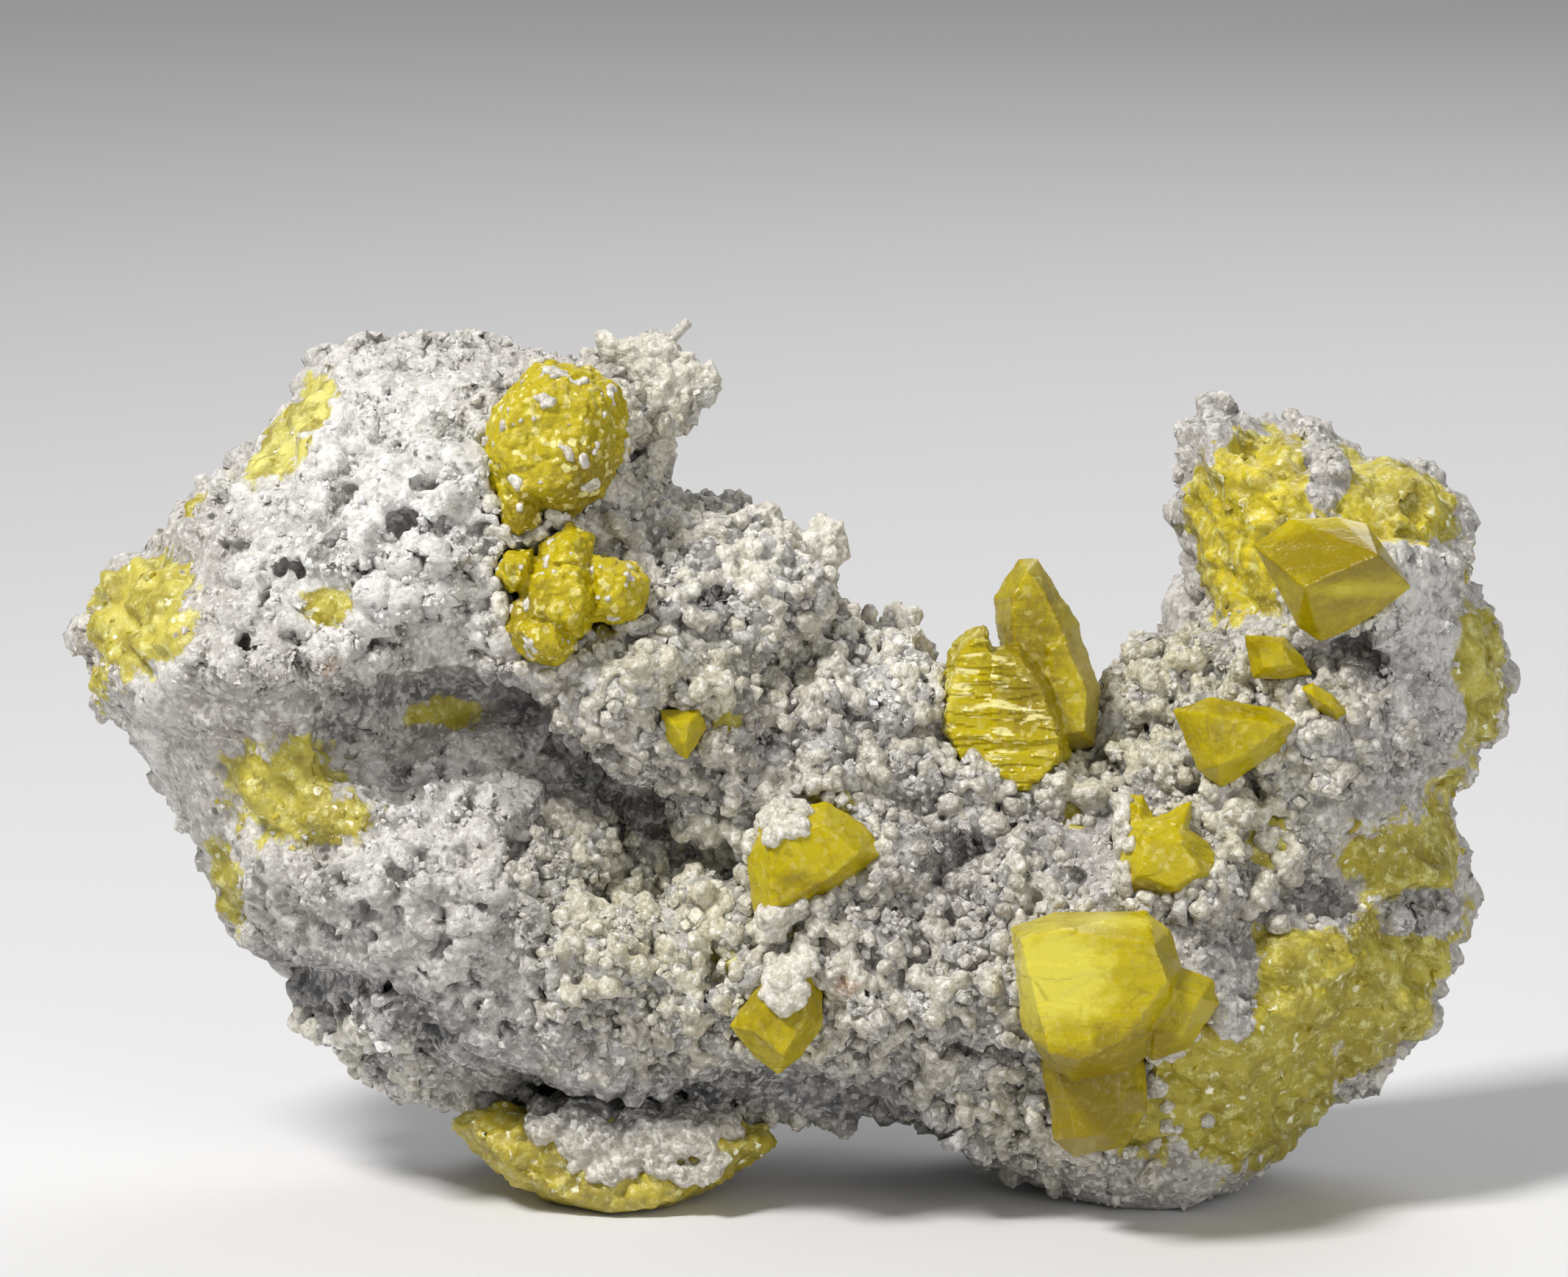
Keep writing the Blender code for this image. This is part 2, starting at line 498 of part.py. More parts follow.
def calcite_spike(name, foot, tip, radius, stance, druse):
    """A six-sided prism with a blunt point."""
    foot, tip = in_face_frame(*foot), in_face_frame(*tip)
    length = (tip - foot).length
    bm = bmesh.new()
    bmesh.ops.create_cone(
        bm, cap_ends=True, segments=6, radius1=radius * MM, radius2=radius * MM, depth=length,
        matrix=Matrix.Translation((0, 0, length / 2)),
    )
    top = [v for v in bm.verts if v.co.z > length / 2]
    bmesh.ops.scale(bm, vec=(SPIKE_TIP, SPIKE_TIP, 1), verts=top)
    tip_edges = [edge for edge in bm.edges if all(vert in top for vert in edge.verts)]
    bmesh.ops.bevel(bm, geom=tip_edges, offset=radius * MM * SPIKE_BEVEL, segments=1, affect="EDGES")
    spike = object_of(name, bm, stance)
    spike.location = foot
    spike.rotation_mode = "QUATERNION"
    spike.rotation_quaternion = (tip - foot).to_track_quat("Z", "Y")
    return as_helper(spike, druse)


def grow_druse(stance, depth_at, taken):
    """Calcite crystals all over the druse zones, clear of the sulfur."""
    druse = bpy.data.collections.new("druse")
    rng = random.Random(SEED)
    for zone in DRUSE_ZONES:
        for x, h, size in scattered(zone, rng):
            depth = depth_at(x, h)
            if depth is None or any(math.hypot(x - tx, h - th) < reach + size / 2 for tx, th, reach in taken):
                continue
            centre = in_face_frame(x, h, depth - BLOCK_SUNK * size)
            calcite_block(f"calcite_{len(druse.objects)}", centre, size, rng, stance, druse)
    for number, (foot, tip, radius) in enumerate(CALCITE_SPIKES):
        calcite_spike(f"spike_{number}", foot, tip, radius, stance, druse)
    return druse


# ---- sulfur -----------------------------------------------------------------------------------------------


def convex_body(points):
    """The flat-faced body whose corners are the points."""
    bm = bmesh.new()
    for point in points:
        bm.verts.new(point)
    hull = bmesh.ops.convex_hull(bm, input=bm.verts)
    inner = [item for item in hull["geom_interior"] if isinstance(item, bmesh.types.BMVert)]
    bmesh.ops.delete(bm, geom=inner, context="VERTS")
    bmesh.ops.recalc_face_normals(bm, faces=bm.faces)
    bmesh.ops.dissolve_limit(bm, angle_limit=math.radians(1), verts=bm.verts, edges=bm.edges)
    return bm


def grown(bm, gap):
    """The same body with every face moved out by gap."""
    bmesh.ops.triangulate(bm, faces=bm.faces)
    bm.normal_update()
    moves = [(v, v.normal * v.calc_shell_factor() * gap) for v in bm.verts]
    for vert, move in moves:
        vert.co += move
    return bm


def middle(outline):
    return [sum(values) / len(outline) for values in zip(*outline)]


def crystal_corners(body, knot_seat):
    girdle, lift, table, rise, root, *own_seat = body
    cx, ch = middle(girdle)
    seat = own_seat[0] if own_seat else knot_seat
    corners = [in_face_frame(x, h, seat + lift) for x, h in girdle]
    corners += [in_face_frame(x, h, seat + lift + rise) for x, h in table]
    tapered = [(cx + ROOT_TAPER * (x - cx), ch + ROOT_TAPER * (h - ch)) for x, h in girdle]
    return corners + [in_face_frame(x, h, seat - root) for x, h in tapered]


def make_sulfur(name, bodies, stance, finish, sockets):
    """One node from one or more convex bodies, each with its corners in the upright frame."""
    centre = sum(bodies[0], Vector()) / len(bodies[0])
    made = None
    for number, corners in enumerate(bodies):
        local = [corner - centre for corner in corners]
        part_name = name if made is None else f"{name}_part_{number}"
        body = object_of(part_name, convex_body(local), stance, finish)
        body.location = centre
        if made is None:
            made = body
        else:
            add_boolean(made, "UNION", as_helper(body))
        socket = object_of(f"{name}_socket_{number}", grown(convex_body(local), SOCKET_GAP * MM), stance)
        socket.location = centre
        as_helper(socket, sockets)
    return made


def lens_corners():
    cx, ch = middle(LENS_GIRDLE)
    corners = [in_face_frame(x, h, LENS_GIRDLE_DEPTH) for x, h in LENS_GIRDLE]
    corners += [in_face_frame(x, h, LENS_FACE_DEPTH) for x, h in LENS_FACE]
    back = [(cx + LENS_BACK_TAPER * (x - cx), ch + LENS_BACK_TAPER * (h - ch)) for x, h in LENS_GIRDLE]
    return corners + [in_face_frame(x, h, LENS_BACK_DEPTH) for x, h in back]


# ---- assembly ---------------------------------------------------------------------------------------------


def keep_main_body(target):
    """Drops the crumbs that the cuts leave beside the main body."""
    bm = bmesh.new()
    bm.from_mesh(target.data)
    left, bodies = set(bm.verts), []
    while left:
        front = [left.pop()]
        body = set(front)
        while front:
            vert = front.pop()
            near = {edge.other_vert(vert) for edge in vert.link_edges} & left
            left -= near
            body |= near
            front += near
        bodies.append(body)
    bodies.sort(key=len)
    bmesh.ops.delete(bm, geom=[v for body in bodies[:-1] for v in body], context="VERTS")
    bm.to_mesh(target.data)
    bm.free()


def floor_block():
    """A block whose top is the floor: it cuts the feet flat."""
    size = 300 * MM
    bm = bmesh.new()
    bmesh.ops.create_cube(bm, size=size)
    block = object_of("floor_cut", bm, None)
    block.location = (0, 0, -size / 2)
    return as_helper(block)


def centre_on_base(stance, nodes):
    """Moves the specimen so that the middle of its box stands on the origin."""
    bpy.context.view_layer.update()
    graph = bpy.context.evaluated_depsgraph_get()
    corners = [n.matrix_world @ v.co for n in nodes for v in n.evaluated_get(graph).data.vertices]
    for axis in (0, 1):
        values = [c[axis] for c in corners]
        stance.location[axis] -= (min(values) + max(values)) / 2


def main():
    for old in list(bpy.data.objects):
        bpy.data.objects.remove(old)
    stance = bpy.data.objects.new("stance", None)
    bpy.context.scene.collection.objects.link(stance)
    stance.rotation_euler.x = -LEAN
    stance.location.z = -FOOT_DEPTH * math.sin(LEAN) * MM
    bpy.context.view_layer.update()
    stone = material("calcite_limestone", MATRIX_COLOUR, MATRIX_ROUGHNESS)
    sulfur = material("sulfur", SULFUR_COLOUR, SULFUR_ROUGHNESS)

    rock = make_rock(stance, stone)
    depth_at = front_finder(rock)
    sockets = bpy.data.collections.new("sockets")
    nodes = [rock]
    taken = []
    for name, bodies in SULFUR.items():
        seat = depth_at(*middle(bodies[0][0]))
        nodes.append(make_sulfur(name, [crystal_corners(b, seat) for b in bodies], stance, sulfur, sockets))
        for girdle, *_ in bodies:
            cx, ch = middle(girdle)
            taken.append((cx, ch, SULFUR_REACH * max(math.hypot(x - cx, h - ch) for x, h in girdle)))
    lens = make_sulfur("sulfur_lens", [lens_corners()], stance, sulfur, sockets)
    nodes.append(lens)
    druse = grow_druse(stance, depth_at, taken)
    pores = open_pores(stance, depth_at)

    floor = floor_block()
    add_boolean(rock, "DIFFERENCE", pores)
    add_boolean(rock, "UNION", druse)
    add_boolean(rock, "DIFFERENCE", sockets)
    add_boolean(rock, "DIFFERENCE", floor)
    add_boolean(lens, "DIFFERENCE", floor)
    bake_modifiers(rock)
    keep_main_body(rock)
    centre_on_base(stance, nodes)


main()
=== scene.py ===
import json
import math

import bpy
import numpy as np
from mathutils import Matrix, Vector, noise
from mathutils.bvhtree import BVHTree

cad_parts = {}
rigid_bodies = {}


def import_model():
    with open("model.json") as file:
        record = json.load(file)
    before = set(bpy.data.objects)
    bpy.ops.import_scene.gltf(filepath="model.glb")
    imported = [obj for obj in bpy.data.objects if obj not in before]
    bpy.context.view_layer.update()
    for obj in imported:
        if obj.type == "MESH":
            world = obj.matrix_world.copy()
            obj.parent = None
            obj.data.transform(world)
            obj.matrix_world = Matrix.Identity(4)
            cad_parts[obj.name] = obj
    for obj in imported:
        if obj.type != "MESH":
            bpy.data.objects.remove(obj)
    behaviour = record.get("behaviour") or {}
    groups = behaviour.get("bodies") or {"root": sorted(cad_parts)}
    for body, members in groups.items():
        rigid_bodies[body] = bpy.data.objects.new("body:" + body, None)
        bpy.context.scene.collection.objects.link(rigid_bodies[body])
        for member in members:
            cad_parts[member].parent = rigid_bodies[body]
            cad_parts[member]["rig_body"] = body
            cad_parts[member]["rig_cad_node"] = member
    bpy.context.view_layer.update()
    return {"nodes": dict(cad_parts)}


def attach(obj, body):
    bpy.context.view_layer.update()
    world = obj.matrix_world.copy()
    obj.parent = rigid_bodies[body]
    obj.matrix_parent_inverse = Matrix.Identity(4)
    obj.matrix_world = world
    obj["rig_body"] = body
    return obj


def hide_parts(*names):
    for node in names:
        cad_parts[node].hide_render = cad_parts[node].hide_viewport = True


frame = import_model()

# ---------------------------------------------------------------------------------------------------------
# The rock: a crescent of pale limestone, chalky and full of pores on its broad horn, smooth and grey along
# its lower left, with patches of massive yellow sulfur soaked into it. It is one piece, worn and broken on
# every side, so its skin is cast fresh from the solid and roughened at ever smaller scales.

MM = 0.001
LEAN = math.radians(10)  # the crystal face leans back this far
STANCE = Vector((-0.391, -5.394, -1.389))  # where the upright drawing's origin stands, in mm
TO_WORLD = Matrix.Translation(STANCE * MM) @ Matrix.Rotation(-LEAN, 4, "X")
FADE_BACK = 6  # patches fade out over this many mm behind the drawing's plane
SKIN_CELL = 0.46 * MM
SKIN_KEPT = 0.62  # share of the skin's triangles kept, with more of them on the face than at the back
FEET = 6  # the feet stay plain up to this height, in mm
DRUSE_GAIN = 1.6  # how far the druse fills its patches

# Patches in the face's own drawing: x to the right, h up, the two radii, all in mm, and a strength.
SULFUR_PATCHES = [
    (-54.2, 50.4, 4.8, 5.2, 1.0), (-58.7, 43.9, 1.8, 3.2, 0.9), (-47.3, 26.4, 1.9, 4.6, 0.9),
    (-40.4, 67.4, 2.9, 2.6, 1.0), (-43.5, 63.5, 3.2, 2.7, 1.0), (-50.5, 59.5, 1.9, 1.6, 0.9),
    (-38.0, 50.7, 2.3, 1.9, 0.7), (-41.5, 35.4, 5.0, 4.2, 0.9), (-37.0, 33.0, 3.0, 2.4, 0.7),
    (38.0, 56.8, 5.4, 7.0, 1.1), (39.7, 62.1, 4.4, 3.0, 1.0), (51.0, 59.3, 6.6, 3.8, 1.0),
    (47.0, 63.6, 4.0, 1.8, 0.8), (58.0, 45.4, 2.6, 8.5, 1.0), (51.8, 29.2, 6.0, 4.0, 1.0),
    (58.6, 54.0, 2.0, 5.0, 0.9), (57.6, 26.0, 2.4, 6.0, 0.9), (29.5, 8.6, 3.5, 3.6, 1.0),
    (50.3, 18.1, 7.5, 7.2, 1.1), (38.9, 10.0, 9.0, 5.6, 1.1), (42.7, 19.0, 5.6, 5.6, 1.0),
    (55.5, 33.5, 3.0, 3.5, 0.9), (39.3, 31.0, 2.0, 2.6, 0.8), (-28.7, 41.6, 3.4, 1.6, 0.6),
    (-5.9, 21.1, 1.2, 1.7, 0.8), (-5.1, 41.2, 1.7, 1.1, 0.6), (23.7, 33.3, 1.4, 1.1, 0.7),
    (3.2, 34.4, 2.2, 1.2, 0.8), (33.0, 12.0, 3.5, 5.0, 0.8), (30.8, 12.8, 2.5, 3.0, 1.0),
    (-18.4, 51.6, 4.4, 4.0, 1.0), (49.6, 23.4, 4.0, 2.4, 0.8), (-0.4, 24.4, 2.4, 3.0, 0.9),
]
BARE_PATCHES = [
    (52.4, 25.0, 2.8, 2.0, 1.1), (42.3, 25.4, 3.4, 1.0, 1.0), (36.4, 19.6, 1.5, 4.2, 1.1),
    (47.6, 10.2, 2.4, 1.1, 0.9), (44.4, 62.0, 1.6, 2.6, 1.0), (49.5, 53.8, 3.0, 1.6, 0.8),
]
PITS = [
    (-22.0, 41.3, 1.7, 1.7, 1.5), (52.4, 25.0, 2.8, 1.8, 0.8), (43.0, 26.4, 2.4, 0.9, 1.2),
    (-31.5, 57.5, 0.9, 0.6, 0.7), (-36.5, 60.5, 0.8, 0.6, 0.7), (-27.0, 53.0, 0.9, 0.6, 0.8),
    (-41.0, 53.5, 1.0, 0.6, 0.7), (-24.5, 48.6, 0.9, 0.6, 0.7), (-29.8, 60.6, 0.8, 0.5, 0.8),
    (-25.4, 56.4, 0.8, 0.6, 0.8), (-33.6, 53.0, 1.2, 0.5, 0.8), (-38.8, 57.4, 0.7, 0.5, 0.7),
    (-30.2, 49.6, 1.4, 0.5, 0.8), (-34.4, 47.0, 1.0, 0.5, 0.7), (-22.6, 52.0, 0.8, 0.6, 0.7),
    (-27.8, 64.0, 0.9, 0.5, 0.7), (-30.0, 30.0, 1.0, 0.6, 0.7), (-26.0, 26.0, 0.9, 0.6, 0.7),
    (-35.0, 25.4, 1.0, 0.6, 0.7), (-22.4, 31.0, 0.9, 0.7, 0.8), (-6.4, 51.0, 1.6, 1.0, 0.9),
    (4.5, 42.0, 1.6, 0.8, 0.9), (-1.5, 39.0, 2.4, 0.8, 1.0), (46.5, 47.0, 1.6, 1.0, 0.8),
    (14.0, 30.5, 2.0, 1.6, 0.9),
]
SMOOTH_PATCHES = [
    (-51.5, 38.0, 4.0, 7.0, 1.0), (-48.0, 29.0, 2.6, 7.0, 0.9), (-22.0, 13.0, 7.0, 2.0, 0.8),
    (-24.0, 43.0, 7.0, 2.0, 0.8), (-42.0, 65.4, 4.0, 4.4, 1.0), (-54.4, 50.6, 4.6, 5.0, 1.0),
    (-49.5, 52.5, 3.0, 3.5, 0.8), (-44.0, 42.5, 4.0, 2.0, 0.6),
]
DRUSE_PATCHES = [
    (-1.3, 54.0, 10.0, 6.0, 1.0), (6.3, 46.9, 7.5, 5.5, 1.0), (-8.9, 41.0, 10.0, 4.6, 1.0),
    (-9.5, 27.9, 9.5, 8.5, 1.0), (-9.0, 16.5, 9.5, 5.0, 1.0), (0.9, 34.8, 7.0, 5.0, 1.0),
    (6.3, 19.6, 6.5, 9.5, 1.0), (13.9, 25.7, 8.5, 9.0, 0.8), (17.5, 8.5, 12.0, 6.5, 1.0),
    (32.0, 44.7, 5.8, 4.4, 1.0), (25.3, 37.0, 7.5, 4.0, 1.0), (38.2, 30.2, 4.5, 6.0, 0.9),
    (44.0, 41.0, 5.0, 5.0, 0.7), (-36.0, 14.0, 7.0, 4.0, 0.9), (-13.0, 68.0, 3.5, 5.0, 1.0),
    (-15.0, 60.0, 4.0, 5.0, 0.7), (15.0, 37.0, 5.0, 4.0, 0.9), (-14.0, 7.4, 13.0, 2.4, 1.0),
]

# The rock's colours, and the patches where each one shows.
CHALK = (0.90, 0.885, 0.85)
STONE = (0.56, 0.53, 0.49)
# A dusty grey, that under the arch's lip is painted shade.
DUSTY_GREY_AND_SHADE = (0.40, 0.365, 0.33)
# A violet grey, partly painted shade in the hollows and low on the face.
VIOLET_GREY_AND_SHADE = (0.36, 0.335, 0.33)
CREAM = (0.60, 0.57, 0.43)
STAIN = (0.62, 0.26, 0.07)
# The dark of dust and of painted shade in the hollows.
HOLLOW_DUST_AND_SHADE = (0.10, 0.088, 0.072)
TINT_PATCHES = [
    (CHALK, [(-33.0, 62.0, 15.0, 9.0, 1.0), (-36.0, 54.0, 12.0, 6.0, 0.9), (-29.0, 36.0, 6.0, 4.0, 0.8),
             (-3.0, 55.0, 6.0, 5.0, 0.6), (7.0, 46.0, 5.0, 4.0, 0.6), (-36.0, 14.0, 8.0, 4.0, 0.8),
             (51.8, 48.0, 4.5, 6.5, 1.0), (-33.0, 30.0, 5.0, 3.0, 0.6), (-53.0, 40.0, 1.5, 7.0, 0.9)]),
    (DUSTY_GREY_AND_SHADE, [(-45.0, 42.0, 8.0, 3.0, 0.9), (-49.0, 55.0, 4.0, 4.0, 0.7), (-30.0, 45.5, 10.0, 2.0, 0.6),
            (-22.0, 66.0, 5.0, 4.0, 0.5), (-2.0, 40.0, 6.0, 2.0, 0.8), (-26.0, 41.0, 9.0, 3.0, 0.9),
            (2.0, 51.0, 3.0, 2.0, 0.6)]),
    (VIOLET_GREY_AND_SHADE, [(-31.0, 22.0, 10.0, 4.0, 0.5), (-17.0, 15.0, 13.0, 4.0, 0.7), (-15.0, 35.0, 8.0, 2.0, 0.9),
              (11.5, 29.0, 4.5, 6.0, 1.0), (19.0, 31.0, 5.0, 4.0, 0.6), (12.0, 11.0, 9.0, 4.0, 0.7),
              (43.5, 5.5, 6.0, 3.0, 0.9), (53.4, 24.9, 3.0, 2.6, 1.4), (36.3, 21.0, 2.0, 3.0, 0.8),
              (40.0, 67.0, 7.0, 2.0, 0.8), (50.0, 40.0, 5.0, 6.0, 0.5), (46.0, 45.0, 4.0, 2.0, 0.9)]),
    (CREAM, [(-11.0, 25.0, 8.0, 9.0, 0.9), (-5.0, 16.0, 6.0, 4.0, 0.6), (-8.0, 45.0, 8.0, 4.0, 0.6),
             (33.0, 46.0, 6.0, 4.0, 1.0), (27.0, 38.0, 7.0, 3.0, 0.9), (37.0, 33.0, 7.0, 5.0, 0.6),
             (-10.5, 65.0, 3.0, 6.0, 0.6), (22.0, 8.0, 9.0, 4.0, 0.5)]),
    (STAIN, [(4.0, 19.6, 1.0, 1.0, 0.5), (49.0, 57.5, 1.6, 0.8, 0.5), (-37.0, 45.0, 0.8, 0.8, 0.5)]),
]
WAXY_YELLOW = (0.44, 0.375, 0.035)  # the massive sulfur's own colour, then where it is brighter or paler
YELLOW_PATCHES = [
    ((0.66, 0.54, 0.015), [(38.2, 56.8, 7.0, 8.0, 1.0), (50.0, 58.0, 6.0, 4.0, 0.8)]),
    ((0.58, 0.51, 0.09), [(-54.2, 50.4, 6.0, 7.0, 1.0), (-40.0, 34.0, 6.0, 5.0, 0.8),
                          (51.0, 61.0, 6.0, 3.0, 0.6), (57.0, 45.0, 3.0, 6.0, 0.7),
                          (55.5, 33.0, 3.0, 4.0, 0.8), (53.0, 19.0, 4.0, 8.0, 0.7)]),
    ((0.74, 0.69, 0.20), [(-40.5, 67.8, 4.0, 4.0, 1.0), (-43.5, 63.3, 4.0, 4.0, 1.0)]),
]

# Two lines in x and h: the groove along the lower edge, and the lip of the arch over the hollow.
GROOVE = [
    (-44, 20), (-40, 19.2), (-36, 18.8), (-31.7, 17.2), (-27.5, 14), (-24, 11.4), (-19.5, 9.4), (-15, 8.8),
    (-9, 9.4), (-3, 11), (1.5, 10.4), (6, 9), (10, 6.8), (14, 4.4),
]
ARCH = [
    (-38, 40.2), (-35.2, 42.8), (-30, 43.5), (-24.8, 43.9), (-21.6, 41.8), (-19, 38.6),
    (-15.6, 35.2), (-11, 34),
]
GROOVE_WIDTH, ARCH_WIDTH = 1.9, 1.7
GROOVE_DEPTH, ARCH_DEPTH, PIT_DEPTH = 1.6, 3.4, 2.2
LINE_BACK = -4  # the lines end at this depth behind the drawing's plane
# Painted shade, darkening the groove, the lip of the arch and the pits.
GROOVE_SHADE = (0.13, 0.13, 0.15)


def select_only(piece):
    bpy.ops.object.select_all(action="DESELECT")
    piece.select_set(True)
    bpy.context.view_layer.objects.active = piece


def apply_modifier(piece, kind, **settings):
    """Adds the modifier with these settings and applies it."""
    select_only(piece)
    modifier = piece.modifiers.new(kind.lower(), kind)
    for name, value in settings.items():
        setattr(modifier, name, value)
    bpy.ops.object.modifier_apply(modifier=modifier.name)


def copy_of_node(node, name):
    """A separate copy of a CAD solid, with its loose triangles merged."""
    select_only(frame["nodes"][node])
    bpy.ops.object.duplicate()
    piece = bpy.context.object
    piece.name = name
    piece.data.name = name
    piece.parent = None
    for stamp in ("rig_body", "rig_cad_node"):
        del piece[stamp]
    bpy.ops.object.mode_set(mode="EDIT")
    bpy.ops.mesh.select_all(action="SELECT")
    bpy.ops.mesh.remove_doubles(threshold=1e-6)
    bpy.ops.object.mode_set(mode="OBJECT")
    return piece


def vertex_array(piece):
    flat = np.empty(len(piece.data.vertices) * 3)
    piece.data.vertices.foreach_get("co", flat)
    return flat.reshape(-1, 3)


def normal_array(piece):
    flat = np.empty(len(piece.data.vertices) * 3)
    piece.data.vertices.foreach_get("normal", flat)
    return flat.reshape(-1, 3)


def move_out(piece, distances):
    """Moves each point along its normal by its own distance, in mm."""
    points = vertex_array(piece) + normal_array(piece) * (np.asarray(distances) * MM)[:, None]
    piece.data.vertices.foreach_set("co", points.ravel())
    piece.data.update()


def flat_footed(piece):
    """Presses whatever reaches below the floor back up to it."""
    points = vertex_array(piece)
    points[:, 2] = np.maximum(points[:, 2], 0)
    piece.data.vertices.foreach_set("co", points.ravel())
    piece.data.update()


def on_the_drawing(points):
    """World points, in metres, as x, h and d of the face's own drawing, in mm."""
    turn = np.array(TO_WORLD.inverted())
    x, back, h = ((points @ turn[:3, :3].T + turn[:3, 3]) / MM).T
    return np.stack([x, h, -back], axis=1)


def patchwork(drawn, patches):
    """How strongly the patches cover the points: 1 in a patch's middle, 0 a little outside its edge."""
    cover = np.zeros(len(drawn))
    for x, h, x_radius, h_radius, strength in patches:
        reach = np.hypot((drawn[:, 0] - x) / x_radius, (drawn[:, 1] - h) / h_radius)
        cover = np.maximum(cover, strength * np.clip(1.5 - reach, 0, 1))
    return cover * np.clip((drawn[:, 2] + FADE_BACK) / FADE_BACK, 0, 1)


def covered(drawn, patches, gain=1.0):
    """The patchwork held between 0 and 1: more gain makes the patches' middles wider."""
    return np.clip(patchwork(drawn, patches) * gain, 0, 1)


def sulfur_patches(drawn):
    """Where the rock is yellow: the sulfur's patches less the bare ones, over 1 in their hearts."""
    return np.clip(patchwork(drawn, SULFUR_PATCHES) - patchwork(drawn, BARE_PATCHES), 0, 2)


def near_line(drawn, line, width):
    """1 on the line, falling to 0 at the width, and 0 behind the face."""
    nearest = np.full(len(drawn), 1e9)
    for start, end in zip(line[:-1], line[1:]):
        start, run = np.array(start, float), np.subtract(end, start)
        share = np.clip(((drawn[:, :2] - start) @ run) / (run @ run), 0, 1)
        nearest = np.minimum(nearest, np.hypot(*(drawn[:, :2] - start - share[:, None] * run).T))
    return np.clip(1 - nearest / width, 0, 1) * (drawn[:, 2] > LINE_BACK)


def paint(piece, name, values):
    """Stores one number, or one colour, per point of the mesh."""
    values = np.asarray(values, float)
    if values.ndim == 1:
        piece.data.attributes.new(name, "FLOAT", "POINT").data.foreach_set("value", values)
        return
    colours = np.hstack([values, np.ones((len(values), 1))])
    piece.data.attributes.new(name, "FLOAT_COLOR", "POINT").data.foreach_set("color", colours.ravel())


def blotches(points, size, octaves=3):
    """Cloudy noise from about -1 to 1 at each point, with blotches of this size in mm."""
    grid = points / (size * MM)
    return np.array([noise.fractal(Vector(point), 0.9, 2.1, octaves) for point in grid])


def speckle(points, size, share, edge=0.15):
    """1 in the noise's peaks and 0 elsewhere: the share is how much of the surface they cover."""
    values = blotches(points, size)
    level = np.quantile(values, 1 - share)
    return np.clip((values - level) / edge, 0, 1)


def vertex_group(piece, name, weights, steps=20):
    """Stores the weights, in so many steps from 0 to 1, as a vertex group."""
    group = piece.vertex_groups.new(name=name)
    levels = np.round(np.clip(weights, 0, 1) * steps).astype(int)
    for level in range(1, steps + 1):
        group.add(np.nonzero(levels == level)[0].tolist(), level / steps, "REPLACE")
    return name


MID_GREY = 0.55  # the shade of a texture that leaves the surface where it is


def roughen(piece, kind, size, depth, group="", ramp=None, **settings):
    """Moves the surface in and out by one of Blender's textures, of this size and depth in mm."""
    texture = bpy.data.textures.new(f"{piece.name}_{kind.lower()}_{size}", kind)
    texture.noise_scale = size * MM
    for name, value in settings.items():
        setattr(texture, name, value)
    if ramp:
        texture.use_color_ramp = True
        texture.color_ramp.elements[0].position, texture.color_ramp.elements[1].position = ramp
        texture.color_ramp.elements[0].color = (0, 0, 0, 1)
        texture.color_ramp.elements[1].color = (1, 1, 1, 1)
    apply_modifier(piece, "DISPLACE", texture=texture, strength=depth * MM, mid_level=MID_GREY,
                   vertex_group=group)


def hollows(piece, rounds):
    """How far each point lies below its surroundings, in mm: more rounds take in wider surroundings."""
    select_only(piece)
    bpy.ops.object.duplicate()
    worn = bpy.context.object
    apply_modifier(worn, "SMOOTH", factor=0.5, iterations=rounds)
    depths = ((vertex_array(worn) - vertex_array(piece)) * normal_array(piece)).sum(axis=1) / MM
    bpy.ops.object.delete()
    select_only(piece)
    return depths


def dusted_and_shaded(tints, depths, reach):
    """The tints darker in the hollows, as dust and painted shade, and paler on worn edges, as wear and
    painted highlight: reach is a deep hollow's depth in mm.
    """
    # Painted shade, with dust, in the hollows, and painted highlight, with wear, on the edges.
    dust_and_shade = 0.65 * np.clip(depths / reach, 0, 1)[:, None]
    worn = 0.35 * np.clip(-depths / reach, 0, 1)[:, None]
    return tints * (1 - dust_and_shade) + dust_and_shade * np.array(HOLLOW_DUST_AND_SHADE) + worn * (np.array(CHALK) - tints)


def rock_tint_and_shade(points, drawn):
    """The rock's colour: chalk white on the broad horn, cream by the sulfur, violet grey in hollows that is
    partly painted shade, and painted shade along the groove, under the arch's lip and in the pits.
    """
    tint = np.tile(STONE, (len(drawn), 1))
    wander = 2.5 * np.stack([blotches(points + shift * MM, 6.0) for shift in (0, 70)], axis=1)
    wandering = np.column_stack([drawn[:, :2] + wander, drawn[:, 2]])
    for colour, patches in TINT_PATCHES:
        tint += covered(wandering, patches)[:, None] * (np.array(colour) - tint)
    # Painted shade along the groove, under the arch's lip and in the pits.
    groove = near_line(drawn, GROOVE, GROOVE_WIDTH * 1.6)
    shadowed = np.maximum(groove, near_line(drawn, ARCH, ARCH_WIDTH))
    shadowed = np.maximum(shadowed, 0.45 * patchwork(drawn, PITS))
    return tint + 0.9 * np.clip(1.5 * shadowed, 0, 1)[:, None] * (np.array(GROOVE_SHADE) - tint)


def smooth_skin(drawn):
    return np.maximum(patchwork(drawn, SMOOTH_PATCHES), near_line(drawn, GROOVE, 2 * GROOVE_WIDTH))


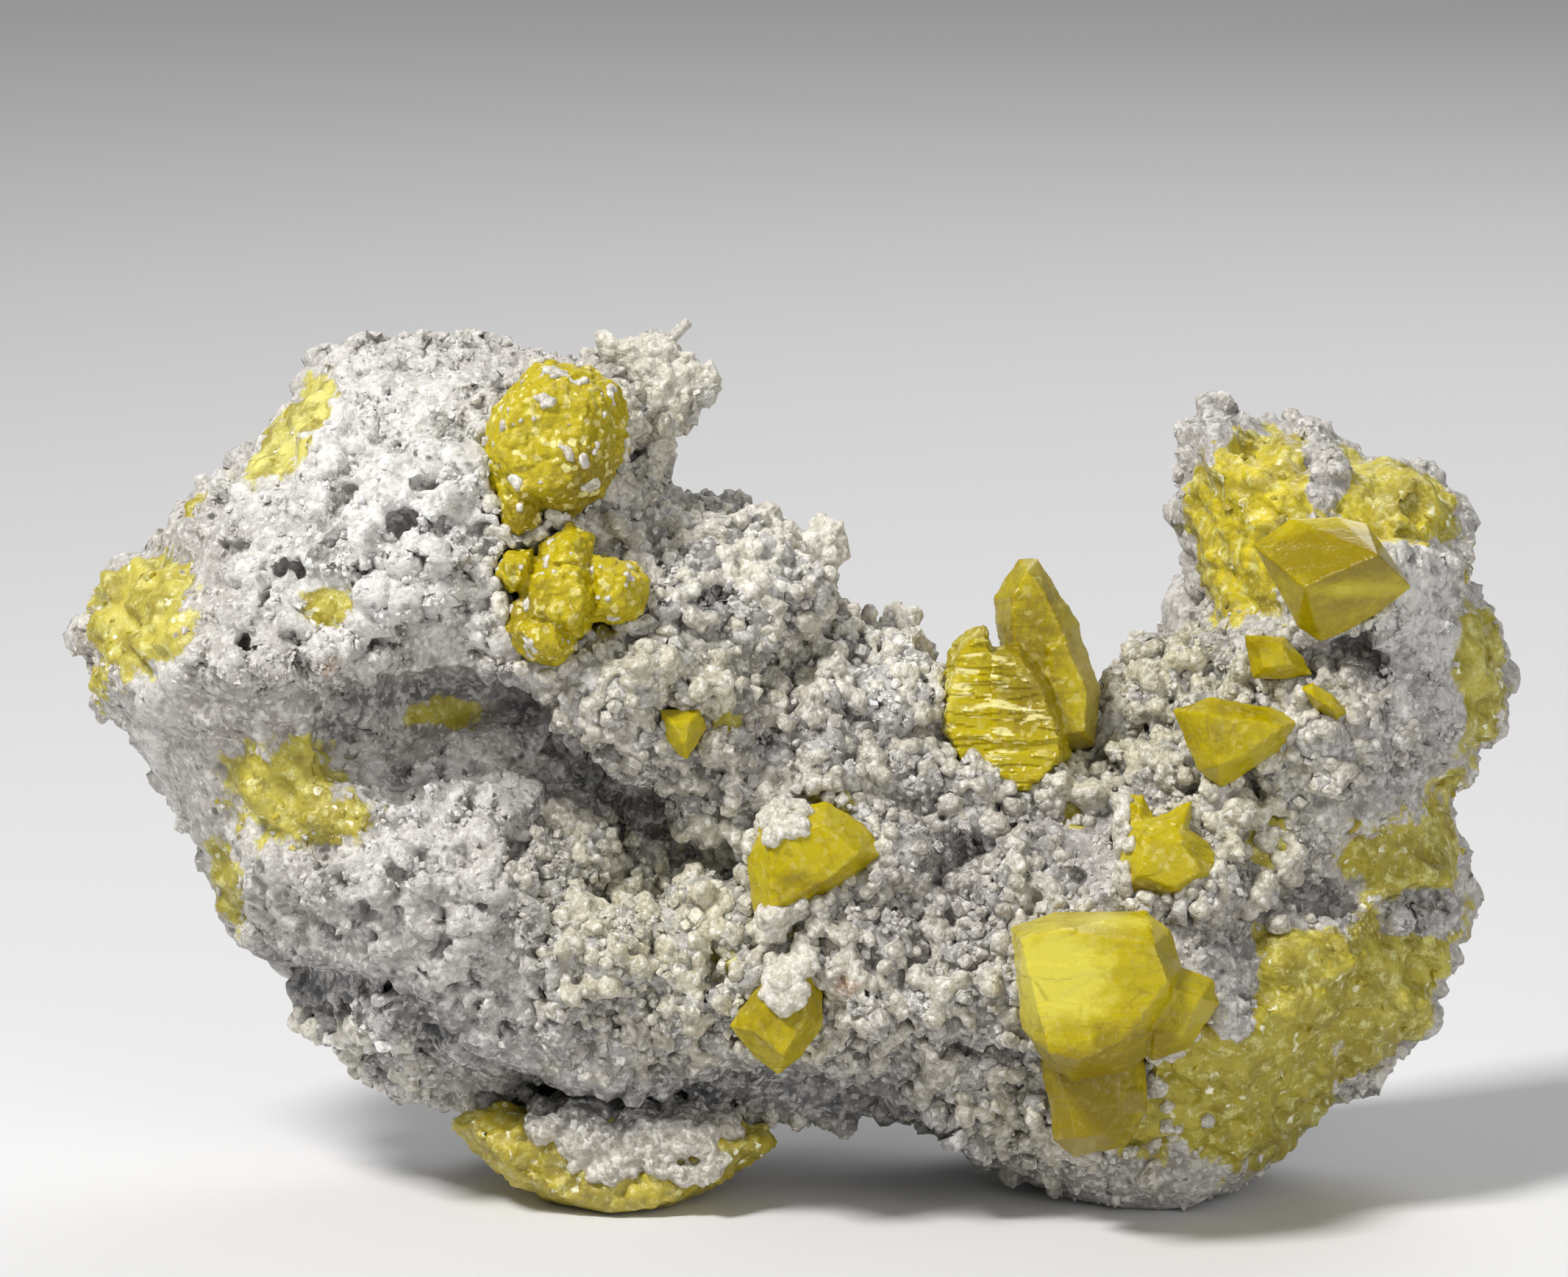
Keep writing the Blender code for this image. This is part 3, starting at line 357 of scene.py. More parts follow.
rock = copy_of_node("matrix", "rock")
apply_modifier(rock, "REMESH", mode="VOXEL", voxel_size=SKIN_CELL)
apply_modifier(rock, "SMOOTH", factor=0.6, iterations=4)
points = vertex_array(rock)
drawn = on_the_drawing(points)
above_feet = np.clip(points[:, 2] / (FEET * MM), 0, 1)
smoothness = smooth_skin(drawn)
sulfur_cover = np.clip(sulfur_patches(drawn) * 2, 0, 1)
druse_cover = covered(drawn, DRUSE_PATCHES, DRUSE_GAIN) * (1 - sulfur_cover)
behind_it = np.clip(-(drawn[:, 2] + 2) / 4, 0, 1)
creases = GROOVE_DEPTH * near_line(drawn, GROOVE, GROOVE_WIDTH)
creases += ARCH_DEPTH * near_line(drawn, ARCH, ARCH_WIDTH)
creases += PIT_DEPTH * patchwork(drawn, PITS)
# Cavities in mm: in the druse, in the chalk, the sulfur's slanting ripples, and the broken back's.
slanting = points * (1, 1, 1.6) + points[:, :1] * (0, 0, 0.8)
chalky = (1 - druse_cover) * (1 - smoothness) * (1 - sulfur_cover)
cavities = druse_cover * (2.4 * speckle(points, 4.5, 0.22, 0.35) - 1.5 * blotches(points, 3.5))
cavities += chalky * 1.3 * speckle(points, 3.0, 0.14, 0.3)
cavities += sulfur_cover * (0.6 - 1.2 * blotches(slanting, 4.5, 2))
cavities += behind_it * (1.2 * speckle(points, 7.0, 0.3, 0.4) - 0.9 * blotches(points, 5.0))
move_out(rock, -(creases + cavities) * above_feet)
base = vertex_group(rock, "base", above_feet)
rough = vertex_group(rock, "rough", (1 - 0.9 * smoothness) * (1 - 0.65 * sulfur_cover) * above_feet)
clumped = vertex_group(rock, "clumped", druse_cover * above_feet)
crumbly = vertex_group(rock, "crumbly", sulfur_cover * above_feet)
bare = (1 - sulfur_cover) * above_feet
porous = vertex_group(rock, "porous", speckle(points, 6, 0.3) * (1 - smoothness) * bare)
pitted = vertex_group(rock, "pitted", speckle(points, 9, 0.22) * (1 - 0.7 * smoothness) * bare)
roughen(rock, "CLOUDS", 5.0, 1.6, group=base, noise_depth=3)
roughen(rock, "CLOUDS", 2.0, 1.2, group=rough, noise_depth=2)
roughen(rock, "VORONOI", 2.2, -1.3, group=clumped)
roughen(rock, "VORONOI", 1.3, -0.6, group=clumped)
roughen(rock, "CLOUDS", 1.6, 0.5, group=crumbly, noise_depth=2)
roughen(rock, "VORONOI", 3.8, 3.0, group=pitted, ramp=(0.10, 0.34))
roughen(rock, "VORONOI", 2.2, 2.2, group=porous, ramp=(0.12, 0.36))
roughen(rock, "CLOUDS", 1.0, 0.7, group=rough, noise_depth=1)
flat_footed(rock)
drawn = on_the_drawing(vertex_array(rock))
plainer = vertex_group(rock, "plainer", np.clip(-(drawn[:, 2] + 4) / 4, 0, 1))
apply_modifier(rock, "DECIMATE", ratio=SKIN_KEPT, vertex_group=plainer, vertex_group_factor=1.0)
rock.vertex_groups.clear()
points = vertex_array(rock)
drawn = on_the_drawing(points)
# Painted shade: the rock between the druse's lumps is darkened.
shade = 1 - 0.6 * covered(drawn, DRUSE_PATCHES, DRUSE_GAIN)  # the floor between the druse's lumps is darker
paint(rock, "tint", dusted_and_shaded(rock_tint_and_shade(points, drawn) * shade[:, None], hollows(rock, 6), 0.35))
paint(rock, "sulfur", sulfur_patches(drawn))
yellows = np.tile(WAXY_YELLOW, (len(points), 1))
for colour, patches in YELLOW_PATCHES:
    yellows += covered(drawn, patches)[:, None] * (np.array(colour) - yellows)
paint(rock, "yellow", yellows)
paint(rock, "smooth", smooth_skin(drawn))
bpy.ops.object.shade_smooth()


class Shader:
    """A material's nodes, with short calls to add and join them."""

    def __init__(self, name):
        self.material = bpy.data.materials.new(name)
        self.material.use_nodes = True
        self.tree = self.material.node_tree
        self.surface = self.tree.nodes["Principled BSDF"]
        self.place = self.tree.nodes.new("ShaderNodeTexCoord").outputs["Object"]

    def set(self, **values):
        for name, value in values.items():
            self.surface.inputs[name.replace("_", " ")].default_value = value

    def node(self, kind, inputs=(), **settings):
        made = self.tree.nodes.new("ShaderNode" + kind)
        for name, value in settings.items():
            setattr(made, name, value)
        for name, value in dict(inputs).items():
            self.join(value, made.inputs[name])
        return made

    def join(self, value, socket):
        if isinstance(value, bpy.types.NodeSocket):
            self.tree.links.new(value, socket)
        elif isinstance(value, tuple) and len(value) == 3 and socket.type == "RGBA":
            socket.default_value = (*value, 1)
        else:
            socket.default_value = value

    def grid(self, size, stretch):
        """The texture place and scale for marks this many mm wide, stretched along x, y and z."""
        place = self.place
        if stretch:
            place = self.node("Mapping", {"Vector": place, "Scale": stretch}).outputs[0]
        return {"Vector": place, "Scale": 1 / (size * MM)}

    def noise(self, size, detail=3.0, roughness=0.6, stretch=None):
        """Cloudy noise whose blotches are about this many mm wide."""
        inputs = self.grid(size, stretch) | {"Detail": detail, "Roughness": roughness}
        return self.node("TexNoise", inputs).outputs["Fac"]

    def cells(self, size, feature="F1", output="Distance", stretch=None):
        """Cells about this many mm wide: how far from their middles, or a shade for each."""
        return self.node("TexVoronoi", self.grid(size, stretch), feature=feature).outputs[output]

    def stored(self, name, output="Fac"):
        return self.node("Attribute", attribute_name=name).outputs[output]

    def math(self, operation, *values):
        made = self.node("Math", operation=operation)
        for socket, value in zip(made.inputs, values):
            self.join(value, socket)
        return made.outputs[0]

    def between(self, value, low, high, to_low=0.0, to_high=1.0):
        """The value stretched so that low to high becomes to_low to to_high."""
        made = self.node("MapRange", {"Value": value, "From Min": low, "From Max": high, "To Min": to_low,
                                      "To Max": to_high})
        return made.outputs[0]

    def mix(self, share, a, b):
        """Colour a with this share of it given over to colour b."""
        made = self.node("Mix", data_type="RGBA")
        self.join(share, made.inputs[0])
        self.join(a, made.inputs[6])
        self.join(b, made.inputs[7])
        return made.outputs[2]

    def bump(self, height, distance, strength=1.0, under=None):
        made = self.node("Bump", {"Height": height, "Distance": distance * MM, "Strength": strength})
        if under:
            self.join(under, made.inputs["Normal"])
        return made.outputs[0]

    def link(self, **values):
        for name, value in values.items():
            self.join(value, self.surface.inputs[name.replace("_", " ")])


WAXY_DEEP = (0.25, 0.195, 0.012)
WAXY_PALE = (0.74, 0.72, 0.30)
WAXY_GLINT = (0.90, 0.90, 0.66)


def waxy_colour(shader, body):
    """Massive sulfur: waxy yellow, smoky in places and clouded with paler grains, with painted glints."""
    smoke = shader.between(shader.noise(3.2, 5, 0.7), 0.42, 0.58, 0.75, 0.0)
    cloud = shader.between(shader.noise(1.3, 5, 0.75), 0.52, 0.64, 0.0, 0.7)
    colour = shader.mix(cloud, shader.mix(smoke, body, WAXY_DEEP), WAXY_PALE)
    # Painted glints: a few grains pale as if they caught the light.
    glint = shader.math("MULTIPLY", shader.between(shader.cells(0.6, output="Color"), 0.80, 0.86),
                        shader.between(shader.noise(1.8, 3), 0.50, 0.60))
    return shader.mix(glint, colour, WAXY_GLINT)


CALCITE_RADIUS = (1.0, 0.93, 0.85)  # how far each colour of light wanders inside calcite
SUGAR_GRAIN = 0.42
SUGAR_DARK = (0.20, 0.185, 0.165)
SUGAR_GLINT = (0.93, 0.915, 0.88)


def sugared(shader, colour):
    """The glitter of fine calcite: every grain a little lighter or darker than the next, and the lightest
    ones painted glints.
    """
    grain = shader.cells(SUGAR_GRAIN, output="Color")
    colour = shader.mix(shader.between(grain, 0.15, 0.40, 0.22, 0.0), colour, SUGAR_DARK)
    return shader.mix(shader.between(grain, 0.55, 0.90, 0.0, 0.6), colour, SUGAR_GLINT)


STONE_DARK = (0.33, 0.305, 0.285)
STONE_LIGHT = (0.88, 0.86, 0.83)
STONE_SPECK = (0.26, 0.24, 0.22)
# Pores are painted near black: painted shade in the small pits.
PORE_SHADE = (0.05, 0.045, 0.04)


def rock_finish():
    """Limestone, mottled at three sizes, with painted shade in its pores and painted glints in its sugar,
    and the massive sulfur where it is stored.
    """
    shader = Shader("weathered_limestone")
    patch_noise = shader.math("MULTIPLY_ADD", shader.noise(2.6, 5), 1.8, -0.9)
    patch = shader.between(shader.math("ADD", shader.stored("sulfur"), patch_noise), 0.36, 0.5)
    stone = shader.stored("tint", "Color")
    for size, detail, roughness, low, high, share, colour in (
        (4.0, 6, 0.7, 0.44, 0.66, 0.6, STONE_DARK),
        (1.6, 5, 0.75, 0.50, 0.62, 0.5, STONE_LIGHT),
        (0.7, 3, 0.7, 0.54, 0.70, 0.5, STONE_SPECK),
    ):
        mottle = shader.between(shader.noise(size, detail, roughness), low, high, 0.0, share)
        stone = shader.mix(mottle, stone, colour)
    pores = shader.math("ADD", shader.cells(1.9), shader.between(shader.noise(0.8, 3), 0, 1, -0.15, 0.15))
    pores = shader.math("MULTIPLY", shader.between(pores, 0.12, 0.24, 0.8, 0.0),
                        shader.between(shader.noise(5.0, 4), 0.50, 0.56))
    stone = sugared(shader, shader.mix(pores, stone, PORE_SHADE))
    shader.link(
        Base_Color=shader.mix(patch, stone, waxy_colour(shader, shader.stored("yellow", "Color"))),
        Roughness=shader.between(patch, 0.0, 1.0, 0.8, 0.42),
    )
    grit = shader.bump(shader.noise(0.35, 4, 0.75), 0.3, shader.between(patch, 0.0, 1.0, 0.9, 0.35))
    rubbed = shader.between(shader.stored("smooth"), 0, 1, 0.6, 0.1)
    shader.link(Normal=shader.bump(shader.cells(0.75), -0.3, rubbed, grit))
    shader.set(Subsurface_Weight=0.08, Subsurface_Scale=0.5 * MM, Subsurface_Radius=CALCITE_RADIUS, IOR=1.5)
    return shader.material


def finish_piece(piece, material, slot, *nodes):
    """Gives the piece its material and hands it to the frame."""
    piece.data.materials.clear()
    piece.data.materials.append(material)
    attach(piece, "root")
    if nodes:
        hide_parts(*nodes)


finish_piece(rock, rock_finish(), "calcite_limestone", "matrix")

# ---------------------------------------------------------------------------------------------------------
# The separate sulfur crystals: flat-faced, resinous and half clear, each grown in its own socket of the
# rock. They are the solids' own shapes, with their edges eased and their faces stepped.

CRYSTAL_NODES = [name for name in frame["nodes"] if name.startswith("sulfur_c")]
CRYSTAL_CELL = 0.17 * MM
SULFUR_DEEP = (0.23, 0.165, 0.001)
SULFUR_BODY = (0.48, 0.385, 0.001)
SULFUR_PALE = (0.72, 0.64, 0.08)
TREAD_SHEEN = (0.80, 0.73, 0.30)
SULFUR_RADIUS = (1.0, 0.7, 0.03)
# Where the faces are paler, and where they are deeper, in x, h, the two radii and a strength. Partly these
# are the sulfur's own paler and deeper zones, partly painted light and shade: painted light on the large
# crystal's upper left facet, which faces the light, and a painted shadow on its stem under its head.
PALE_AND_LIT_FACES = [
    (21.4, 20.6, 4.2, 4.0, 1.6), (26.4, 24.8, 5.0, 0.7, 0.9), (46.4, 51.8, 3.4, 0.5, 1.2),
    (28.6, 30.4, 1.6, 1.4, 0.6), (-22.4, 66.0, 3.6, 3.6, 0.4), (-18.4, 53.8, 2.0, 2.2, 0.4),
    (13.0, 43.2, 1.2, 2.0, 0.6), (18.2, 51.0, 1.0, 2.4, 0.3), (39.6, 43.2, 1.0, 1.0, 0.5),
    (30.4, 33.0, 2.2, 2.2, 0.4), (33.0, 15.6, 1.8, 2.4, 0.4),
]
DEEP_AND_SHADED_FACES = [
    (24.0, 9.0, 5.0, 5.6, 1.3), (28.0, 14.4, 4.5, 2.2, 0.9), (31.0, 13.4, 3.4, 3.4, 0.8),
    (29.0, 26.6, 4.0, 0.9, 0.9), (44.6, 54.6, 6.0, 2.2, 1.2), (25.6, 28.4, 1.5, 1.5, 0.8),
    (45.6, 50.6, 7.0, 4.0, 0.5), (19.6, 46.0, 3.0, 6.0, 0.9), (36.6, 42.6, 4.0, 3.0, 0.4),
    (-0.6, 19.6, 4.0, 5.0, 0.6), (-16.0, 60.4, 3.0, 3.2, 0.9), (-20.6, 58.0, 4.0, 1.6, 0.8),
    (-22.0, 50.0, 2.0, 1.6, 0.7), (20.0, 44.0, 2.0, 4.0, 0.7), (37.6, 47.4, 1.6, 1.0, 0.8),
    (35.0, 40.0, 3.0, 1.6, 0.5), (30.0, 36.6, 2.0, 1.8, 0.6), (-2.6, 17.6, 2.0, 1.6, 0.6),
    (0.8, 27.6, 2.4, 1.6, 0.6),
]
# Depth of the growth steps and their size in x, h and d, in mm, then how frosted the faces are.
HABITS = {
    "sulfur_crystals_saddle": (0.34, (7.0, 0.9, 7.0), 0.2),
    "sulfur_crystal_large": (0.16, (9.0, 2.0, 9.0), 0.05),
    "sulfur_crystal_top": (0.30, (2.2, 2.2, 2.2), 0.7),
    "sulfur_cluster_left": (0.26, (2.0, 2.0, 2.0), 0.5),
    "sulfur_crystals_star": (0.22, (2.5, 2.5, 2.5), 0.2),
    "sulfur_crystal_tower": (0.03, (6.0, 1.2, 6.0), 0.0),
}
PLAIN_HABIT = (0.12, (3.0, 1.4, 3.0), 0.1)
FROSTED = 0.4  # crystals frosted more than this are grainy in shape too
BANDED_NODE = "sulfur_crystals_saddle"
BANDED_PATCH = [(14.6, 41.5, 5.4, 4.6, 1.2)]
PLATE_TOP, PLATE_SLOPE = (16.6, 48.8), 0.66  # the front plate's back edge, in x and h, and how it leans


def terraces(piece, depth, size, levels=2.5):
    """Growth steps: flat treads this deep in mm, with edges that wander. Size is in mm, as x, h and d."""
    field = blotches(on_the_drawing(vertex_array(piece)) / np.array(size) * MM, 1.0, 2)
    move_out(piece, depth * np.round(field * levels) / levels)


def crystal_finish(name, frost=0.0, banded=False):
    """Half-clear sulfur with painted glints, and painted sheen on the treads where banded: frost is how
    dull and grainy the faces are, from 0 to 1.
    """
    shader = Shader(name)
    haze = shader.between(shader.noise(2.2 - 1.2 * frost, 6, 0.8), 0, 1, -1.5 - frost, 1.5 + frost)
    depth = shader.math("ADD", shader.stored("tone_and_light"), haze)
    colour = shader.mix(shader.between(depth, -0.9, 0.0, 0.85, 0.0), SULFUR_BODY, SULFUR_DEEP)
    colour = shader.mix(shader.between(depth, 0.35, 1.2, 0.0, 0.85), colour, SULFUR_PALE)
    grain = shader.between(shader.noise(0.5, 4, 0.75), 0.54, 0.68, 0.0, 0.1 + 0.45 * frost)
    colour = shader.mix(grain, colour, SULFUR_PALE)
    # Painted glints: scattered pale spots on the faces, more on frosted ones.
    glints = 0.9 * min(1, 0.03 + 1.4 * frost)
    colour = shader.mix(shader.between(shader.cells(0.5, output="Color"), 0.74, 0.84, 0.0, glints),
                        colour, TREAD_SHEEN)
    if banded:
        # Painted sheen: pale bands along the treads of the front plate.
        tread_sheen = shader.between(shader.noise(1.5, 3, 0.6, stretch=(0.5, 1, 2.2)), 0.53, 0.58)
        colour = shader.mix(shader.math("MULTIPLY", tread_sheen, shader.stored("banded")), colour, TREAD_SHEEN)
    seams = shader.between(shader.cells(3.5, "DISTANCE_TO_EDGE", stretch=(1, 1, 1.8)), 0.01, 0.05, 0.4, 0.0)
    crack = shader.math("MULTIPLY", seams, shader.between(shader.noise(3, 3), 0.54, 0.60))
    shader.link(
        Base_Color=shader.mix(crack, colour, SULFUR_DEEP),
        Roughness=shader.between(shader.noise(1.4, 3), 0.35, 0.7, 0.13 + 0.3 * frost, 0.24 + 0.35 * frost),
    )
    relief = shader.bump(shader.noise(1.6, 2), 0.03 + 0.4 * frost, 0.5)
    shader.link(Normal=shader.bump(shader.noise(0.35, 3, 0.7), 0.06 + 0.15 * frost, 0.7, relief))
    shader.set(IOR=1.6, Specular_IOR_Level=0.3, Transmission_Weight=0.05, Subsurface_Weight=0.2,
               Subsurface_Scale=0.8 * MM, Subsurface_Radius=SULFUR_RADIUS)
    return shader.material


crystals = []
for node in CRYSTAL_NODES:
    depth, size, frost = HABITS.get(node, PLAIN_HABIT)
    crystal = copy_of_node(node, node + "_gem")
    apply_modifier(crystal, "REMESH", mode="VOXEL", voxel_size=CRYSTAL_CELL)
    crystal_drawn = on_the_drawing(vertex_array(crystal))
    banded = node == BANDED_NODE
    if banded:  # the front plate is stepped, the pointed pair behind it is calmer
        plate_x, plate_h = PLATE_TOP
        behind_plate = crystal_drawn[:, 0] > plate_x + PLATE_SLOPE * (plate_h - crystal_drawn[:, 1])
        depth = depth * np.where(behind_plate, 0.3, 1.0)
        paint(crystal, "banded", covered(crystal_drawn, BANDED_PATCH, 2) * ~behind_plate)
    terraces(crystal, depth, size)
    if frost > FROSTED:
        apply_modifier(crystal, "SMOOTH", factor=0.5, iterations=2)
        roughen(crystal, "VORONOI", 1.1, -0.35)
        roughen(crystal, "CLOUDS", 0.6, 0.35, noise_depth=1)
    crystal_drawn = on_the_drawing(vertex_array(crystal))
    # Pale and deep patches: the sulfur's own zones, with painted light and painted shade.
    paint(crystal, "tone_and_light", patchwork(crystal_drawn, PALE_AND_LIT_FACES) - patchwork(crystal_drawn, DEEP_AND_SHADED_FACES))
    bpy.ops.object.shade_smooth_by_angle(angle=math.radians(28))
    finish_piece(crystal, crystal_finish(node + "_finish", frost, banded), "sulfur", node)
    crystals.append(crystal)

# ---------------------------------------------------------------------------------------------------------
# The lens of massive sulfur under the broad horn: one of the feet, waxy and granular, crusted over with
# calcite along its upper middle.

LENS_CELL = 0.35 * MM
LENS_YELLOW = (0.46, 0.37, 0.012)
WAXY_RADIUS = (1.0, 0.8, 0.1)


def waxy_finish():
    shader = Shader("massive_sulfur")
    shader.link(Base_Color=waxy_colour(shader, LENS_YELLOW))
    relief = shader.bump(shader.noise(0.8, 4, 0.7), 0.3, 0.7)
    shader.link(Normal=shader.bump(shader.noise(0.25, 3, 0.7), 0.08, 0.7, relief))
    shader.set(Roughness=0.33, IOR=1.7, Subsurface_Weight=0.25, Subsurface_Scale=1.0 * MM,
               Subsurface_Radius=WAXY_RADIUS)
    return shader.material


lens = copy_of_node("sulfur_lens", "massive_lens")
apply_modifier(lens, "REMESH", mode="VOXEL", voxel_size=LENS_CELL)
apply_modifier(lens, "SMOOTH", factor=0.6, iterations=4)
off_floor = vertex_group(lens, "off_floor", np.clip((vertex_array(lens)[:, 2] / MM - 0.3) / 1.5, 0, 1))
roughen(lens, "CLOUDS", 5.0, 2.6, group=off_floor, noise_depth=2)
roughen(lens, "CLOUDS", 1.6, 1.3, group=off_floor, noise_depth=2)
roughen(lens, "VORONOI", 1.3, -0.6, group=off_floor)
flat_footed(lens)
bpy.ops.object.shade_smooth()
waxy = waxy_finish()
finish_piece(lens, waxy, "sulfur", "sulfur_lens")

# ---------------------------------------------------------------------------------------------------------
# The druse: thousands of small white calcite crystals, grown together into lumpy crusts over the middle of
# the face, round the vug and along the saddle, with blunt rhombs on top, and fine sugar over the rest.

RHOMB_STRETCH = 0.16  # how much longer a rhomb is from one corner to the opposite one


def rhomb(name, bevel, crooked, seed):
    """One calcite rhomb about 1 across, its corners pushed about at random, as points and faces."""
    bpy.ops.object.select_all(action="DESELECT")
    bpy.ops.mesh.primitive_cube_add(size=1)
    grain = bpy.context.object
    grain.name = name
    bpy.ops.object.mode_set(mode="EDIT")
    bpy.ops.mesh.select_all(action="SELECT")
    if bevel:
        bpy.ops.mesh.bevel(offset=bevel, segments=1, affect="EDGES")
    bpy.ops.mesh.quads_convert_to_tris()
    bpy.ops.object.mode_set(mode="OBJECT")
    points = vertex_array(grain)
    diagonal = np.ones(3) / math.sqrt(3)
    points = points + RHOMB_STRETCH * np.outer(points @ diagonal, diagonal)
    points = points + np.random.default_rng(seed).normal(scale=crooked, size=points.shape)
    faces = np.array([face.vertices[:] for face in grain.data.polygons])
    bpy.ops.object.delete()
    return points, faces


def random_turns(rng, count):
    """That many random rotations, as 3 x 3 matrices."""
    q = rng.normal(size=(count, 4))
    w, x, y, z = (q / np.linalg.norm(q, axis=1)[:, None]).T
    return np.stack([
        1 - 2 * (y * y + z * z), 2 * (x * y - w * z), 2 * (x * z + w * y),
        2 * (x * y + w * z), 1 - 2 * (x * x + z * z), 2 * (y * z - w * x),
        2 * (x * z - w * y), 2 * (y * z + w * x), 1 - 2 * (x * x + y * y),
    ], axis=1).reshape(-1, 3, 3)


def surface_points(piece, rng, count):
    """Random points spread evenly over a mesh, with their normals."""
    mesh = piece.data
    mesh.calc_loop_triangles()
    corners = np.empty(len(mesh.loop_triangles) * 3, int)
    mesh.loop_triangles.foreach_get("vertices", corners)
    a, b, c = vertex_array(piece)[corners.reshape(-1, 3)].transpose(1, 0, 2)
    cross = np.cross(b - a, c - a)
    area = np.linalg.norm(cross, axis=1)
    pick = rng.choice(len(area), count, p=area / area.sum())
    u, v = rng.random((2, count))
    flip = u + v > 1
    u, v = np.where(flip, 1 - u, u), np.where(flip, 1 - v, v)
    points = a[pick] + u[:, None] * (b - a)[pick] + v[:, None] * (c - a)[pick]
    return points, cross[pick] / area[pick, None]


def clear_of(points, tree, reach):
    """Which points lie at least their own reach outside the crystals."""
    keep = np.ones(len(points), bool)
    for i, (point, limit) in enumerate(zip(points, reach)):
        near, normal, _, distance = tree.find_nearest(Vector(point))
        keep[i] = distance > limit and (Vector(point) - near).dot(normal) > 0
    return keep


def joined_grains(name, template, centres, turns, scales, tints=None):
    """One mesh that holds a copy of the template at every centre."""
    points, faces = template
    placed = np.einsum("nij,pj->npi", turns * scales[:, None, :], points) + centres[:, None]
    count, size = len(centres), len(points)
    indices = faces[None] + (np.arange(count) * size)[:, None, None]
    mesh = bpy.data.meshes.new(name)
    mesh.from_pydata(placed.reshape(-1, 3).tolist(), [], indices.reshape(-1, faces.shape[1]).tolist())
    piece = bpy.data.objects.new(name, mesh)
    bpy.context.scene.collection.objects.link(piece)
    if tints is not None:
        paint(piece, "tint", np.repeat(tints, size, axis=0))
    return piece


CALCITE_CLOUD = (0.76, 0.73, 0.64)
CALCITE_SMOKE = (0.30, 0.275, 0.235)


def calcite_finish():
    shader = Shader("druse_calcite")
    cloudy = shader.between(shader.noise(1.1, 4, 0.75), 0.48, 0.66, 0.0, 0.5)
    colour = shader.mix(cloudy, shader.stored("tint", "Color"), CALCITE_CLOUD)
    smoky = shader.between(shader.noise(0.9, 4, 0.75), 0.34, 0.50, 0.5, 0.0)
    shader.link(Base_Color=sugared(shader, shader.mix(smoky, colour, CALCITE_SMOKE)))
    relief = shader.bump(shader.noise(0.55, 3, 0.7), 0.3, 0.8)
    relief = shader.bump(shader.cells(SUGAR_GRAIN), -0.16, 0.8, relief)
    shader.link(Normal=shader.bump(shader.noise(0.2, 3, 0.7), 0.1, 0.8, relief))
    shader.set(Roughness=0.34, IOR=1.55, Subsurface_Weight=0.35, Subsurface_Scale=0.6 * MM,
               Subsurface_Radius=CALCITE_RADIUS)
    return shader.material


def tree_of(pieces):
    """One search tree over all these pieces."""
    points, faces = [], []
    for piece in pieces:
        faces += [[i + len(points) for i in face.vertices] for face in piece.data.polygons]
        points += [vert.co.copy() for vert in piece.data.vertices]
    return BVHTree.FromPolygons(points, faces)


crystal_tree = tree_of(crystals + [lens])
calcite = calcite_finish()
LUMP = rhomb("lump", 0.24, 0.085, 0)
BLUNT = rhomb("blunt_grain", 0.16, 0.05, 4)
CRUMB = rhomb("crumb", 0, 0.13, 5)
BUDS = 14  # buds on each lump of a crust
BUD_REACH, BUD_SIZES = 0.44, (0.3, 0.55)  # how far out the buds sit, and how big they are, in lump sizes
DRUSE_WARMTH = (1.0, 0.975, 0.87)
DRUSE_CELL = 0.21 * MM
CRUST_KEPT = 0.5  # share of a crust's triangles kept
BRIGHTEST = 0.9


def seeds_on(surface, chance, tried, sizes, lift, rng, clear=True):
    """Places for grains: their centres, sizes and outward directions.

    So many places are tried. Chance is the share kept at each point, sizes the smallest and largest in mm,
    lift how far out a grain sits in its own sizes, and clear keeps grains off the crystals.
    """
    points, normals = surface_points(surface, rng, tried)
    keep = rng.random(tried) < chance(points, on_the_drawing(points))
    points, normals = points[keep], normals[keep]
    smallest, largest = sizes
    across = smallest * (largest / smallest) ** (rng.random(len(points)) ** 1.4) * MM
    centres = points + normals * (across * rng.uniform(*lift, len(points)))[:, None]
    keep = centres[:, 2] > across
    if clear:
        keep &= clear_of(centres, crystal_tree, across * 0.5)
    return centres[keep], across[keep], normals[keep]


def grain_tints(centres, rng, spread=0.2):
    tints = rock_tint_and_shade(centres, on_the_drawing(centres)) * (1 + 0.3 * blotches(centres, 3.5))[:, None]
    return np.clip(tints * rng.uniform(1 - spread, 1 + spread, (len(centres), 1)), 0, BRIGHTEST)


def grow_grains(name, surface, chance, template, tried, sizes, lift, seed, finish=calcite,
                slot="calcite_limestone", flatten=1.0):
    """Scatters separate grains over the surface, where and how many as for seeds_on."""
    rng = np.random.default_rng(seed)
    centres, across, _ = seeds_on(surface, chance, tried, sizes, lift, rng)
    scales = across[:, None] * rng.uniform(0.72, 1.2, (len(across), 3)) * (1, 1, flatten)
    turns = random_turns(rng, len(across))
    grains = joined_grains(name, template, centres, turns, scales, grain_tints(centres, rng))
    finish_piece(grains, finish, slot)


